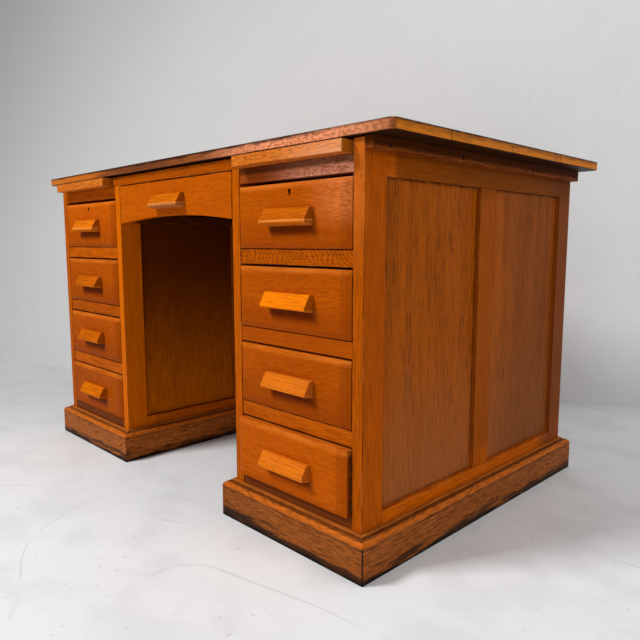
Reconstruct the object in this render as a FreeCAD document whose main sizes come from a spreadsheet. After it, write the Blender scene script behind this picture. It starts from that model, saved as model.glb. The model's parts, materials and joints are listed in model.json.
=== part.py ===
import FreeCAD, Part
import Sketcher
import math
import os

# Double pedestal desk in oak: two panelled pedestals on mitred plinths, nine drawers,
# two pull-out writing slides and a planked top. Millimetres, +Z up, front towards -Y.
# Every size below is a cell of the sheet Sizes, and every piece is bound to those cells.

SIZES = {
    # Whole desk
    "desk_height": 760.0,
    "carcase_width": 1178.0,
    "carcase_depth": 755.0,
    "kneehole_width": 475.0,
    # Top
    "top_thickness": 19.0,
    "top_side_overhang": 65.0,
    "top_front_overhang": 10.0,
    "top_corner_clip": 8.0,
    "top_arris": 1.2,
    # Panelled frames of the sides, backs and kneehole back
    "frame_thickness": 24.0,
    "back_thickness": 20.0,
    "stile_width": 55.0,
    "back_stile_width": 42.0,
    "muntin_width": 58.0,
    "top_rail_width": 60.0,
    "low_rail_show": 25.0,
    "panel_thickness": 7.0,
    "groove_depth": 8.0,
    "panel_play": 1.0,
    "tongue_play": 0.4,
    "foot_gap": 3.0,
    "stile_top_gap": 2.0,
    # Plinth
    "plinth_height": 79.0,
    "plinth_face_height": 63.0,
    "plinth_projection": 22.0,
    "plinth_bead_width": 7.0,
    "plinth_bead_step": 5.0,
    # Rails between the drawers, and their stub tongues in the stiles
    "rail_height": 29.0,
    "rail_depth": 60.0,
    "rail_setback": 1.5,
    "sill_show": 19.5,
    "rail_tongue_length": 10.0,
    "rail_tongue_height": 15.0,
    "rail_tongue_width": 30.0,
    "rail_tongue_inset": 12.0,
    "lowest_opening": 126.0,
    "highest_opening_extra": 1.7,
    "slide_bay_height": 25.3,
    # Runners, guides and stops
    "runner_width": 22.0,
    "runner_gap": 0.3,
    "kicker_gap": 1.5,
    "centre_runner_height": 20.0,
    "guide_width": 10.0,
    "stop_height": 4.0,
    "stop_length": 20.0,
    "stop_width": 40.0,
    # Frieze rail over the kneehole
    "frieze_height": 22.3,
    "frieze_depth": 24.0,
    # Cleats under the ends of the top, and their screws
    "batten_thickness": 18.5,
    "batten_height": 22.0,
    "screw_drop": 13.5,
    "screw_counterbore": 4.0,
    "screw_counterbore_depth": 6.0,
    "screw_head_radius": 3.6,
    "screw_head_height": 2.4,
    "screw_shank_radius": 2.0,
    "screw_length": 26.0,
    "screw_front_inset": 41.0,
    "screw_rear_inset": 25.0,
    # Drawers
    "drawer_side_gap": 1.5,
    "drawer_top_gap": 4.0,
    "highest_drawer_gap": 7.0,
    "drawer_bottom_gap": 1.6,
    "drawer_rear_space": 75.0,
    "front_thickness": 18.0,
    "field_depth": 4.0,
    "field_bevel": 11.0,
    "side_thickness": 12.0,
    "side_drop": 3.0,
    "back_board_thickness": 12.0,
    "back_rebate": 4.0,
    "back_drop": 4.0,
    "bottom_thickness": 5.0,
    "bottom_groove": 5.0,
    "bottom_raise": 10.0,
    "bottom_play": 0.3,
    "front_lap": 6.0,
    "ajar": 9.0,
    # Centre drawer
    "centre_front_height": 94.5,
    "centre_arch_rise": 14.5,
    "centre_side_height": 68.0,
    "centre_rear_space": 175.0,
    # Pulls
    "pull_width": 123.0,
    "pull_height": 32.0,
    "pull_projection": 22.0,
    "pull_top_projection": 9.5,
    "pull_lip": 5.5,
    "pull_undercut": 4.5,
    "pull_drop": 2.5,
    # Locks of the two top drawers
    "keyhole_drop": 14.0,
    "keyhole_radius": 2.8,
    "keyhole_slot_width": 3.0,
    "keyhole_slot_length": 11.0,
    "lock_width": 50.0,
    "lock_height": 34.0,
    "lock_depth": 10.0,
    "bolt_width": 14.0,
    "bolt_thickness": 5.0,
    "bolt_length": 12.0,
    "strike_play": 1.0,
    # Writing slides
    "slide_thickness": 20.5,
    "slide_projection": 27.0,
    "slide_length": 460.0,
    "slide_side_gap": 1.75,
    "lipping_width": 30.0,
    "lipping_tongue": 8.0,
    "lipping_tongue_thickness": 6.0,
    "slide_stop_from_rear": 70.0,
    "slide_stop_drop": 8.0,
    "slide_stop_width": 200.0,
    # One overrun for every cut that leaves the wood
    "cut_over": 2.0,
}

# Levels and faces worked out from the driving sizes. The pedestal values are distances
# from the middle plane of the desk, so one value serves both pedestals.
PLACES = {
    "front_face": "-(Sizes.carcase_depth + Sizes.plinth_projection - Sizes.ajar"
                  " - Sizes.field_depth - Sizes.pull_projection) / 2",
    "under_top": "Sizes.desk_height - Sizes.top_thickness",
    "knee_half": "Sizes.kneehole_width / 2",
    "carcase_half": "Sizes.carcase_width / 2",
    "bay_near": "knee_half + Sizes.frame_thickness",
    "bay_far": "carcase_half - Sizes.frame_thickness",
    "bay_width": "bay_far - bay_near",
    "pedestal_width": "carcase_half - knee_half",
    "frame_height": "under_top - Sizes.foot_gap",
    "low_rail_width": "Sizes.plinth_height + Sizes.low_rail_show - Sizes.foot_gap",
    "knee_back_foot": "Sizes.plinth_height + Sizes.low_rail_show",
    "back_face": "Sizes.carcase_depth - Sizes.back_thickness",
    "upper_opening": "(under_top - Sizes.slide_bay_height - Sizes.plinth_height - Sizes.sill_show"
                     " - Sizes.lowest_opening - Sizes.highest_opening_extra - 4 * Sizes.rail_height) / 3",
    "rail_level_0": "Sizes.plinth_height + Sizes.sill_show",
    "rail_level_1": "rail_level_0 + Sizes.lowest_opening + Sizes.rail_height",
    "rail_level_2": "rail_level_1 + upper_opening + Sizes.rail_height",
    "rail_level_3": "rail_level_2 + upper_opening + Sizes.rail_height",
    "highest_opening": "upper_opening + Sizes.highest_opening_extra",
    "rail_level_4": "rail_level_3 + highest_opening + Sizes.rail_height",
    "rail_back": "Sizes.rail_setback + Sizes.rail_depth",
    "drawer_length": "back_face - Sizes.drawer_rear_space",
    "centre_drawer_length": "back_face - Sizes.centre_rear_space",
    "top_depth": "Sizes.carcase_depth + Sizes.top_front_overhang",
    "front_width": "bay_width - 2 * Sizes.drawer_side_gap",
    "front_gaps": "Sizes.drawer_top_gap + Sizes.drawer_bottom_gap",
    "upper_front": "upper_opening - front_gaps",
    "highest_front": "highest_opening - Sizes.highest_drawer_gap - Sizes.drawer_bottom_gap",
    "lowest_front": "Sizes.lowest_opening - front_gaps",
    "side_foot": "Sizes.runner_gap - Sizes.drawer_bottom_gap",
    "centre_width": "Sizes.kneehole_width - 2 * Sizes.drawer_side_gap",
    "centre_level": "rail_level_4 - Sizes.drawer_bottom_gap - Sizes.centre_front_height",
    "centre_side_foot": "Sizes.centre_front_height - Sizes.side_drop - Sizes.centre_side_height",
    "centre_runner_level": "centre_level + centre_side_foot - Sizes.runner_gap",
    "arch_radius": "(centre_width ^ 2 / 4 + Sizes.centre_arch_rise ^ 2) / (2 * Sizes.centre_arch_rise)",
    "ovolo_run": "Sizes.plinth_projection - Sizes.plinth_bead_width",
    "ovolo_rise": "Sizes.plinth_height - Sizes.plinth_bead_step - Sizes.plinth_face_height",
    "ovolo_radius": "(ovolo_run ^ 2 + ovolo_rise ^ 2) / (2 * ovolo_run)",
    "slide_near": "bay_near + Sizes.guide_width",
    "slide_width": "bay_far - slide_near - 2 * Sizes.slide_side_gap",
    "slide_level": "rail_level_4 + Sizes.runner_gap",
    "lipping_back": "Sizes.lipping_width - Sizes.slide_projection",
    "slide_rear": "Sizes.slide_length - Sizes.slide_projection",
}

# Where the boards of the top meet, and where the inner screws of a cleat stand, as shares
# of the depth of the top and of the carcase
TOP_JOINT_SHARES = (0.2, 0.468, 0.736)
SCREW_SHARES = (0.335, 0.695)
# Widths of a dovetail at its tip and root, as shares of the pitch between dovetails
TAIL_TIP_SHARE = 0.72
TAIL_ROOT_SHARE = 0.56
# Heights of the dovetail rows as counts: pedestal drawers and the shallow centre drawer
PEDESTAL_TAILS = 3
CENTRE_TAILS = 2
# Heights of the highest and lowest drawer fronts, which differ from the two between them
FRONT_HEIGHTS = {1: "Places.highest_front", 4: "Places.lowest_front"}
# Where the two stops stand across an opening, as shares of its width
STOP_SHARES = (0.25, 0.75)
# A face counts as level when its normal is steeper than this
LEVEL_SLOPE = 0.5

RAILS = 5
ROTATE_Z = FreeCAD.Vector(0, 0, 1)

doc = FreeCAD.newDocument("pedestal_desk")
nodes = []


def make_sheet(name, cells):
    """Write a sheet of aliased cells, one per named value."""
    sheet = doc.addObject("Spreadsheet::Sheet", name)
    for row, (alias, content) in enumerate(cells.items(), 1):
        sheet.set(f"A{row}", alias)
        sheet.set(f"B{row}", content)
        sheet.setAlias(f"B{row}", alias)
    doc.recompute()
    return sheet


sizes = make_sheet("Sizes", {name: str(value) for name, value in SIZES.items()})
places = make_sheet("Places", {name: f"={formula}" for name, formula in PLACES.items()})


def value(expression):
    """Number that an expression gives with the sizes as they stand."""
    return float(sizes.evalExpression(expression))


def put(item, x="0", y="0", z="0", turn=0):
    """Bind where an object stands, and turn it about the vertical."""
    item.Placement = FreeCAD.Placement(FreeCAD.Vector(), FreeCAD.Rotation(ROTATE_Z, turn))
    for axis, expression in zip("xyz", (x, y, z)):
        item.setExpression(f"Placement.Base.{axis}", expression)
    return item


def stand(item, x, y, z, turn=0):
    """Place a finished node, its y counted from the front face of the stiles."""
    return put(item, x, f"Places.front_face + ({y})", z, turn)


def board(name, size, at=("0", "0", "0")):
    """Plain board: length, width and height along X, Y and Z."""
    box = doc.addObject("Part::Box", name)
    for side, expression in zip(("Length", "Width", "Height"), size):
        box.setExpression(side, expression)
    return put(box, *at)


def node(label, pieces):
    """Collect the separate pieces of one sub-part under its own label."""
    group = doc.addObject("Part::Compound", label)
    group.Links = pieces
    group.Label = label
    nodes.append(group)
    return group


def mirrored(source, label):
    """Left-hand copy of a right-hand sub-part, across the middle plane of the desk."""
    copy = doc.addObject("Part::Mirroring", label)
    copy.Source = source
    copy.Normal = FreeCAD.Vector(1, 0, 0)
    copy.Label = label
    nodes.append(copy)
    return copy


def new_body(name):
    """Empty body that sketches and features are added to."""
    return doc.addObject("PartDesign::Body", name)


def new_sketch(body, name, plane, offset):
    """Sketch on one of the body's own origin planes, moved along its normal."""
    sketch = body.newObject("Sketcher::SketchObject", name)
    origin_plane = [item for item in body.Origin.OriginFeatures if item.Role == f"{plane}_Plane"][0]
    sketch.AttachmentSupport = (origin_plane, [""])
    sketch.MapMode = "FlatFace"
    sketch.setExpression("AttachmentOffset.Base.z", offset)
    return sketch


def fix_point(sketch, geometry, corner, point):
    """Hold a corner at the two expressions of its place."""
    for kind, axis, expression in (("DistanceX", -2, point[0]), ("DistanceY", -1, point[1])):
        if expression == "0":
            sketch.addConstraint(Sketcher.Constraint("PointOnObject", geometry, corner, axis))
            continue
        rule = Sketcher.Constraint(kind, -1, 1, geometry, corner, value(expression))
        sketch.setExpression(f"Constraints[{sketch.addConstraint(rule)}]", expression)


def arc_edge(start, end, radius, turn):
    """Arc from start to end whose centre lies left (1) or right (-1) of the way."""
    chord = end - start
    middle = (start + end) / 2
    left = FreeCAD.Vector(-chord.y, chord.x, 0).normalize()
    centre = middle + left * (turn * math.sqrt(radius ** 2 - (chord.Length / 2) ** 2))
    low, high = (start, end) if turn > 0 else (end, start)
    first = math.atan2(low.y - centre.y, low.x - centre.x)
    last = math.atan2(high.y - centre.y, high.x - centre.x)
    if last < first:
        last += 2 * math.pi
    return Part.ArcOfCircle(Part.Circle(centre, FreeCAD.Vector(0, 0, 1), radius), first, last)


def outline(sketch, points, arcs=None):
    """Closed outline through expression points; arcs maps a side to (radius, turn)."""
    arcs = arcs or {}
    spots = [FreeCAD.Vector(value(x), value(y), 0) for x, y in points]
    first = sketch.GeometryCount
    ends = []
    for index, start in enumerate(spots):
        finish = spots[(index + 1) % len(spots)]
        if index in arcs:
            radius, turn = arcs[index]
            side = sketch.addGeometry(arc_edge(start, finish, value(radius), turn), False)
            rule = Sketcher.Constraint("Radius", side, value(radius))
            sketch.setExpression(f"Constraints[{sketch.addConstraint(rule)}]", radius)
            ends.append((1, 2) if turn > 0 else (2, 1))
        else:
            sketch.addGeometry(Part.LineSegment(start, finish), False)
            ends.append((1, 2))
    for index, point in enumerate(points):
        following = (index + 1) % len(points)
        joint = (first + index, ends[index][1], first + following, ends[following][0])
        sketch.addConstraint(Sketcher.Constraint("Coincident", *joint))
        fix_point(sketch, first + index, ends[index][0], point)


def rectangle(x, y, width, height):
    """Corners of a rectangle from its low corner and its two sides."""
    right = f"{x} + {width}"
    top = f"{y} + {height}"
    return [(x, y), (right, y), (right, top), (x, top)]


def circles(sketch, centres, radius):
    """Circles of one radius about expression centres."""
    for centre in centres:
        spot = FreeCAD.Vector(value(centre[0]), value(centre[1]), 0)
        ring = sketch.addGeometry(Part.Circle(spot, FreeCAD.Vector(0, 0, 1), value(radius)), False)
        rule = Sketcher.Constraint("Radius", ring, value(radius))
        sketch.setExpression(f"Constraints[{sketch.addConstraint(rule)}]", radius)
        fix_point(sketch, ring, 3, centre)


def pad(body, sketch, length, back=False):
    """Raise a sketch along its normal, or the other way."""
    feature = body.newObject("PartDesign::Pad", f"{sketch.Name}_pad")
    feature.Profile = sketch
    feature.Reversed = back
    feature.setExpression("Length", length)
    return feature


def pocket(body, sketch, depth, back=False):
    """Cut a sketch against its normal, or along it when back is set."""
    feature = body.newObject("PartDesign::Pocket", f"{sketch.Name}_cut")
    feature.Profile = sketch
    feature.Reversed = back
    feature.setExpression("Length", depth)
    return feature


def padded(name, plane, points, length, back=False, arcs=None, offset="0"):
    """Body made by raising one closed outline."""
    body = new_body(name)
    sketch = new_sketch(body, f"{name}_section", plane, offset)
    outline(sketch, points, arcs)
    pad(body, sketch, length, back)
    return body


def cut_outlines(body, name, plane, loops, depth, back=False, offset="0"):
    """Cut several closed outlines from a body in one pocket."""
    sketch = new_sketch(body, f"{body.Name}_{name}", plane, offset)
    for points in loops:
        outline(sketch, points)
    return pocket(body, sketch, depth, back)


def cut_circles(body, name, plane, centres, radius, depth, back=False, offset="0"):
    """Bore round holes in a body in one pocket."""
    sketch = new_sketch(body, f"{body.Name}_{name}", plane, offset)
    circles(sketch, centres, radius)
    return pocket(body, sketch, depth, back)


def fused(name, pieces):
    """One solid joined from overlapping pieces."""
    join = doc.addObject("Part::MultiFuse", name)
    join.Shapes = pieces
    join.Refine = True
    return join


def cut_away(name, base, tools):
    """Piece with the wood of the tools taken out of it."""
    result = doc.addObject("Part::Cut", name)
    result.Base = base
    result.Tool = tools[0] if len(tools) == 1 else fused(f"{name}_tools", tools)
    return result


# Framed panels
# A frame stands on local axes: thickness along X, width along Y and height along Z.


def grooved_section(thickness, low, high, grooves):
    """Section of an upright between y low and high, grooved on the edges named."""
    slot_low = f"({thickness} - Sizes.panel_thickness) / 2"
    slot_high = f"({thickness} + Sizes.panel_thickness) / 2"
    points = [("0", low), (thickness, low)]
    if "low" in grooves:
        bed = f"{low} + Sizes.groove_depth"
        points = [("0", low), (slot_low, low), (slot_low, bed), (slot_high, bed), (slot_high, low),
                  (thickness, low)]
    points.append((thickness, high))
    if "high" in grooves:
        bed = f"{high} - Sizes.groove_depth"
        points += [(slot_high, high), (slot_high, bed), (slot_low, bed), (slot_low, high)]
    points.append(("0", high))
    return points


def upright(name, thickness, low, high, foot, height, grooves):
    """Stile or muntin: a grooved section raised from its foot."""
    return padded(name, "XY", grooved_section(thickness, low, high, grooves), height, offset=foot)


def tongue(body, points, length, plane, offset):
    """Thin tongue right through a rail or muntin that stands out at both its ends."""
    sketch = new_sketch(body, f"{body.Name}_tongue", plane, offset)
    outline(sketch, points)
    pad(body, sketch, length, back=plane == "XZ")


def crossrail(name, thickness, stile, width, low, high, groove):
    """Rail between two stiles, grooved on one edge and tongued at both ends."""
    slot_low = f"({thickness} - Sizes.panel_thickness) / 2"
    body = padded(name, "XZ", grooved_section(thickness, low, high, [groove]),
                  f"{width} - 2 * {stile}", back=True, offset=f"-({stile})")
    reach = "(Sizes.groove_depth - Sizes.tongue_play)"
    foot = f"{low} + Sizes.groove_depth" if groove == "low" else low
    rise = f"{high} - ({low}) - Sizes.groove_depth"
    tongue(body, rectangle(slot_low, foot, "Sizes.panel_thickness", rise),
           f"{width} - 2 * {stile} + 2 * {reach}", "XZ", f"-({stile} - {reach})")
    return body


def framed(name, width, height, thickness, stile, low_rail, top_gap="0", muntin=True):
    """Frame and its panels: returns the members by name, and the list of panels."""
    top = f"{height} - Sizes.top_rail_width"
    inner = f"({top} - {low_rail})"
    reach = "(Sizes.groove_depth - Sizes.tongue_play)"
    slot_low = f"({thickness} - Sizes.panel_thickness) / 2"
    members = {
        "front_stile": upright(f"{name}_front_stile", thickness, "0", stile, "0",
                               f"{height} - {top_gap}", ["high"]),
        "rear_stile": upright(f"{name}_rear_stile", thickness, f"{width} - {stile}", width, "0",
                              height, ["low"]),
        "low_rail": crossrail(f"{name}_low_rail", thickness, stile, width, "0", low_rail, "high"),
        "top_rail": crossrail(f"{name}_top_rail", thickness, stile, width, top, height, "low"),
    }
    lows = [stile]
    bay = f"({width} - 2 * {stile})"
    if muntin:
        low = f"({width} - Sizes.muntin_width) / 2"
        high = f"({width} + Sizes.muntin_width) / 2"
        post = upright(f"{name}_muntin", thickness, low, high, low_rail, inner, ["low", "high"])
        tongue_points = rectangle(slot_low, f"{low} + Sizes.groove_depth", "Sizes.panel_thickness",
                                  "Sizes.muntin_width - 2 * Sizes.groove_depth")
        tongue(post, tongue_points, f"{inner} + 2 * {reach}", "XY",
               f"{low_rail} - {reach}")
        members["muntin"] = post
        lows.append(high)
        bay = f"(({width} - Sizes.muntin_width) / 2 - {stile})"
    edge = "(Sizes.groove_depth - Sizes.panel_play)"
    size = ("Sizes.panel_thickness", f"{bay} + 2 * {edge}", f"{inner} + 2 * {edge}")
    panels = [board(f"{name}_panel_{index}", size, (slot_low, f"{low} - {edge}", f"{low_rail} - {edge}"))
              for index, low in enumerate(lows)]
    return members, panels


def rail_mortises(stile, plane_offset, back):
    """Mortises in a front stile for the tongues of the five drawer rails."""
    low_y = "Sizes.rail_setback + Sizes.rail_tongue_inset"
    loops = []
    for level in range(RAILS):
        middle = f"Places.rail_level_{level} - Sizes.rail_height / 2 - Sizes.foot_gap"
        loops.append(rectangle(low_y, f"{middle} - Sizes.rail_tongue_height / 2",
                               "Sizes.rail_tongue_width", "Sizes.rail_tongue_height"))
    cut_outlines(stile, "mortises", "YZ", loops, "Sizes.rail_tongue_length", back, plane_offset)


def screw_pilots(member, distances):
    """Pilot holes in the outer face of a frame for the screws of the cleat."""
    height = "Places.under_top - Sizes.screw_drop - Sizes.foot_gap"
    depth = "Sizes.screw_length + Sizes.screw_counterbore_depth - Sizes.batten_thickness"
    cut_circles(member, "pilots", "YZ", [(distance, height) for distance in distances],
                "Sizes.screw_shank_radius", depth, offset="Sizes.frame_thickness")


def side_frames():
    """Outer and inner panelled side of the right pedestal."""
    for name, near in (("outer", "Places.bay_far"), ("inner", "Places.knee_half")):
        members, panels = framed(f"right_{name}", "Sizes.carcase_depth", "Places.frame_height",
                                 "Sizes.frame_thickness", "Sizes.stile_width",
                                 "Places.low_rail_width", "Sizes.stile_top_gap")
        stile = members["front_stile"]
        if name == "outer":
            rail_mortises(stile, "0", True)
            distances = screw_distances()
            screw_pilots(stile, distances[:1])
            screw_pilots(members["top_rail"], distances[1:-1])
            screw_pilots(members["rear_stile"], distances[-1:])
        else:
            rail_mortises(stile, "Sizes.frame_thickness", False)
            lap = rectangle("-Sizes.cut_over", "Places.rail_level_4 - Sizes.foot_gap",
                            "Sizes.frieze_depth + Sizes.cut_over",
                            "Sizes.slide_bay_height + Sizes.cut_over")
            cut_outlines(stile, "frieze_lap", "YZ", [lap],
                         "Sizes.frame_thickness + 2 * Sizes.cut_over", True, "-Sizes.cut_over")
        stand(node(f"right_{name}_frame", list(members.values())), near, "0", "Sizes.foot_gap")
        stand(node(f"right_{name}_panels", panels), near, "0", "Sizes.foot_gap")


def back_frames():
    """Panelled back of the right pedestal and of the kneehole, flush with the rear stiles."""
    members, panels = framed("right_back", "Places.bay_width", "Places.frame_height",
                             "Sizes.back_thickness", "Sizes.back_stile_width",
                             "Places.low_rail_width", muntin=False)
    for label, pieces in (("right_back_frame", list(members.values())), ("right_back_panel", panels)):
        stand(node(label, pieces), "Places.bay_near", "Sizes.carcase_depth", "Sizes.foot_gap", -90)
    members, panels = framed("kneehole_back", "Sizes.kneehole_width",
                             "Places.under_top - Places.knee_back_foot", "Sizes.back_thickness",
                             "Sizes.stile_width", "Sizes.top_rail_width")
    for label, pieces in (("kneehole_back_frame", list(members.values())),
                          ("kneehole_back_panels", panels)):
        stand(node(label, pieces), "-Places.knee_half", "Sizes.carcase_depth",
              "Places.knee_back_foot", -90)


def drawer_rails():
    """Five rails across the front of the right pedestal, the top one carrying the slide."""
    rails = []
    for level in range(RAILS):
        low = f"Places.rail_level_{level} - Sizes.rail_height"
        middle = f"Places.rail_level_{level} - Sizes.rail_height / 2"
        wood = board(f"right_rail_{level}_wood",
                     ("Places.bay_width", "Sizes.rail_depth", "Sizes.rail_height"),
                     ("0", "Sizes.rail_setback", low))
        tenon = board(f"right_rail_{level}_tenon",
                      ("Places.bay_width + 2 * (Sizes.rail_tongue_length - Sizes.tongue_play)",
                       "Sizes.rail_tongue_width", "Sizes.rail_tongue_height"),
                      ("Sizes.tongue_play - Sizes.rail_tongue_length",
                       "Sizes.rail_setback + Sizes.rail_tongue_inset",
                       f"{middle} - Sizes.rail_tongue_height / 2"))
        rail = fused(f"right_rail_{level}", [wood, tenon])
        if level == RAILS - 1:
            rail = cut_away(f"right_rail_{level}_struck", rail, [strike_slot(low)])
        rails.append(rail)
    stand(node("right_drawer_rails", rails), "Places.bay_near", "0", "0")


def strike_slot(low):
    """Slot under the top rail that the lock's bolt would rise into."""
    width = "(Sizes.bolt_width + 2 * Sizes.strike_play)"
    return board("strike_slot",
                 (width, "Sizes.bolt_thickness + 2 * Sizes.strike_play",
                  "Sizes.bolt_length + Sizes.cut_over"),
                 (f"(Places.bay_width - {width}) / 2",
                  "Sizes.front_thickness - Sizes.lock_depth / 2 - Sizes.bolt_thickness / 2"
                  " - Sizes.strike_play",
                  f"{low} - Sizes.cut_over"))


def runners():
    """Runners for the drawers and slide of the right pedestal, and the slide's guides."""
    pieces = []
    length = "Places.back_face - Places.rail_back"
    kicker_low = "(Places.slide_level + Sizes.slide_thickness + Sizes.kicker_gap)"
    for side, x in (("near", "0"), ("far", "Places.bay_width - Sizes.runner_width")):
        for level in range(RAILS):
            pieces.append(board(f"right_runner_{level}_{side}",
                                ("Sizes.runner_width", length, "Sizes.rail_height"),
                                (x, "Places.rail_back",
                                 f"Places.rail_level_{level} - Sizes.rail_height")))
    pieces.append(board("right_slide_guide",
                        ("Sizes.guide_width", "Places.back_face - Sizes.frieze_depth",
                         "Sizes.frieze_height"),
                        ("0", "Sizes.frieze_depth", "Places.rail_level_4")))
    for side, x, wide in (("near", "Sizes.guide_width", "Sizes.runner_width - Sizes.guide_width"),
                          ("far", "Places.bay_width - Sizes.runner_width", "Sizes.runner_width")):
        pieces.append(board(f"right_kicker_{side}", (wide, length, f"Places.under_top - {kicker_low}"),
                            (x, "Places.rail_back", kicker_low)))
    stand(node("right_runners", pieces), "Places.bay_near", "0", "0")


def plinth_board(name, run):
    """Moulded plinth board, mitred at both ends, its inner face on local X = 0."""
    bead = "Sizes.plinth_height - Sizes.plinth_bead_step"
    section = [("0", "0"), ("Sizes.plinth_projection", "0"),
               ("Sizes.plinth_projection", "Sizes.plinth_face_height"),
               ("Sizes.plinth_bead_width", bead),
               ("Sizes.plinth_bead_width", "Sizes.plinth_height"), ("0", "Sizes.plinth_height")]
    body = padded(name, "XZ", section, f"{run} + 2 * Sizes.plinth_projection", back=True,
                  arcs={2: ("Places.ovolo_radius", 1)}, offset="Sizes.plinth_projection")
    tip = "Sizes.plinth_projection + Sizes.cut_over"
    start = [("-Sizes.cut_over", "Sizes.cut_over"), ("-Sizes.cut_over", f"-({tip})"),
             (tip, f"-({tip})")]
    finish = [("-Sizes.cut_over", f"{run} - Sizes.cut_over"), (tip, f"{run} + {tip}"),
              ("-Sizes.cut_over", f"{run} + {tip}")]
    cut_outlines(body, "mitres", "XY", [start, finish],
                 "Sizes.plinth_height + 2 * Sizes.cut_over", True, "-Sizes.cut_over")
    return body


def plinths():
    """Four mitred boards round the foot of the right pedestal."""
    wide = "Places.pedestal_width"
    deep = "Sizes.carcase_depth"
    boards = [put(plinth_board("right_plinth_outer", deep), wide, "0", "0", 0),
              put(plinth_board("right_plinth_rear", wide), wide, deep, "0", 90),
              put(plinth_board("right_plinth_inner", deep), "0", deep, "0", 180),
              put(plinth_board("right_plinth_front", wide), "0", "0", "0", -90)]
    stand(node("right_plinth", boards), "Places.knee_half", "0", "0")


def battens():
    """Screwed cleat along the outer side, under the overhang of the top."""
    low = "Places.under_top - Sizes.batten_height"
    body = padded("right_batten_wood", "YZ",
                  rectangle("0", low, "Sizes.carcase_depth", "Sizes.batten_height"),
                  "Sizes.batten_thickness")
    spots = screw_spots()
    cut_circles(body, "shank_holes", "YZ", spots, "Sizes.screw_shank_radius",
                "Sizes.batten_thickness + 2 * Sizes.cut_over",
                offset="Sizes.batten_thickness + Sizes.cut_over")
    cut_circles(body, "counterbores", "YZ", spots, "Sizes.screw_counterbore",
                "Sizes.screw_counterbore_depth", offset="Sizes.batten_thickness")
    return stand(node("right_batten", [body]), "Places.carcase_half", "0", "0")


def screw_distances():
    """Distances of a cleat's screws from the front."""
    return ["Sizes.screw_front_inset", *[f"{share} * Sizes.carcase_depth" for share in SCREW_SHARES],
            "Sizes.carcase_depth - Sizes.screw_rear_inset"]


def screw_spots():
    """Distance from the front and height of each screw of a cleat."""
    height = "Places.under_top - Sizes.screw_drop"
    return [(distance, height) for distance in screw_distances()]


def batten_screws():
    """Wood screws whose flat heads stand at the bottom of the counterbores."""
    seat = "Places.carcase_half + Sizes.batten_thickness - Sizes.screw_counterbore_depth"
    pieces = []
    for index, (y, z) in enumerate(screw_spots()):
        body = new_body(f"screw_{index}")
        head = new_sketch(body, f"screw_{index}_head", "YZ", "0")
        circles(head, [("0", "0")], "Sizes.screw_head_radius")
        pad(body, head, "Sizes.screw_head_height")
        shank = new_sketch(body, f"screw_{index}_shank", "YZ", "0")
        circles(shank, [("0", "0")], "Sizes.screw_shank_radius")
        pad(body, shank, "Sizes.screw_length", back=True)
        pieces.append(put(body, seat, y, z))
    right = doc.addObject("Part::Compound", "right_batten_screws")
    right.Links = pieces
    left = doc.addObject("Part::Mirroring", "left_batten_screws")
    left.Source = right
    left.Normal = FreeCAD.Vector(1, 0, 0)
    stand(node("batten_screws", [right, left]), "0", "0", "0")


def top_outline(low, high):
    """Outline of one board of the top, with the corners clipped on an outer board."""
    half = "(Places.carcase_half + Sizes.top_side_overhang)"
    clip = "Sizes.top_corner_clip"
    points = [(f"-{half}", low), (half, low), (half, high), (f"-{half}", high)]
    if low == "-Sizes.top_front_overhang":
        points[:2] = [(f"-{half}", f"{low} + {clip}"), (f"-{half} + {clip}", low),
                      (f"{half} - {clip}", low), (half, f"{low} + {clip}")]
    if high == "Sizes.carcase_depth":
        points[-2:] = [(half, f"{high} - {clip}"), (f"{half} - {clip}", high),
                       (f"-{half} + {clip}", high), (f"-{half}", f"{high} - {clip}")]
    return points


def ease_rim(body, joints):
    """Chamfer the upper and lower rims of a board, apart from its glued joints."""
    slab = body.Tip
    rims = [edge for face in slab.Shape.Faces if abs(face.normalAt(0, 0).z) > LEVEL_SLOPE
            for edge in face.Edges]
    names = []
    for index, edge in enumerate(slab.Shape.Edges, 1):
        along = {round(vertex.Y, 3) for vertex in edge.Vertexes}
        glued = len(along) == 1 and along <= {round(value(joint), 3) for joint in joints}
        if any(edge.isSame(rim) for rim in rims) and not glued:
            names.append(f"Edge{index}")
    arris = body.newObject("PartDesign::Chamfer", f"{body.Name}_arris")
    arris.Base = (slab, names)
    arris.setExpression("Size", "Sizes.top_arris")


def desktop():
    """Top of four glued boards, with clipped corners and eased arrises."""
    joints = [f"{share} * Places.top_depth - Sizes.top_front_overhang" for share in TOP_JOINT_SHARES]
    edges = ["-Sizes.top_front_overhang", *joints, "Sizes.carcase_depth"]
    boards = []
    for index, (low, high) in enumerate(zip(edges, edges[1:])):
        body = padded(f"top_board_{index}", "XY", top_outline(low, high), "Sizes.top_thickness")
        doc.recompute()
        ease_rim(body, joints)
        boards.append(body)
    stand(node("desktop", boards), "0", "0", "Places.under_top")


def frieze_rail():
    """Rail over the centre drawer, lapped over the inner stiles."""
    wood = board("frieze_wood", ("2 * Places.slide_near", "Sizes.frieze_depth", "Sizes.frieze_height"))
    stand(node("frieze_rail", [wood]), "-Places.slide_near", "0", "Places.rail_level_4")


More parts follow.
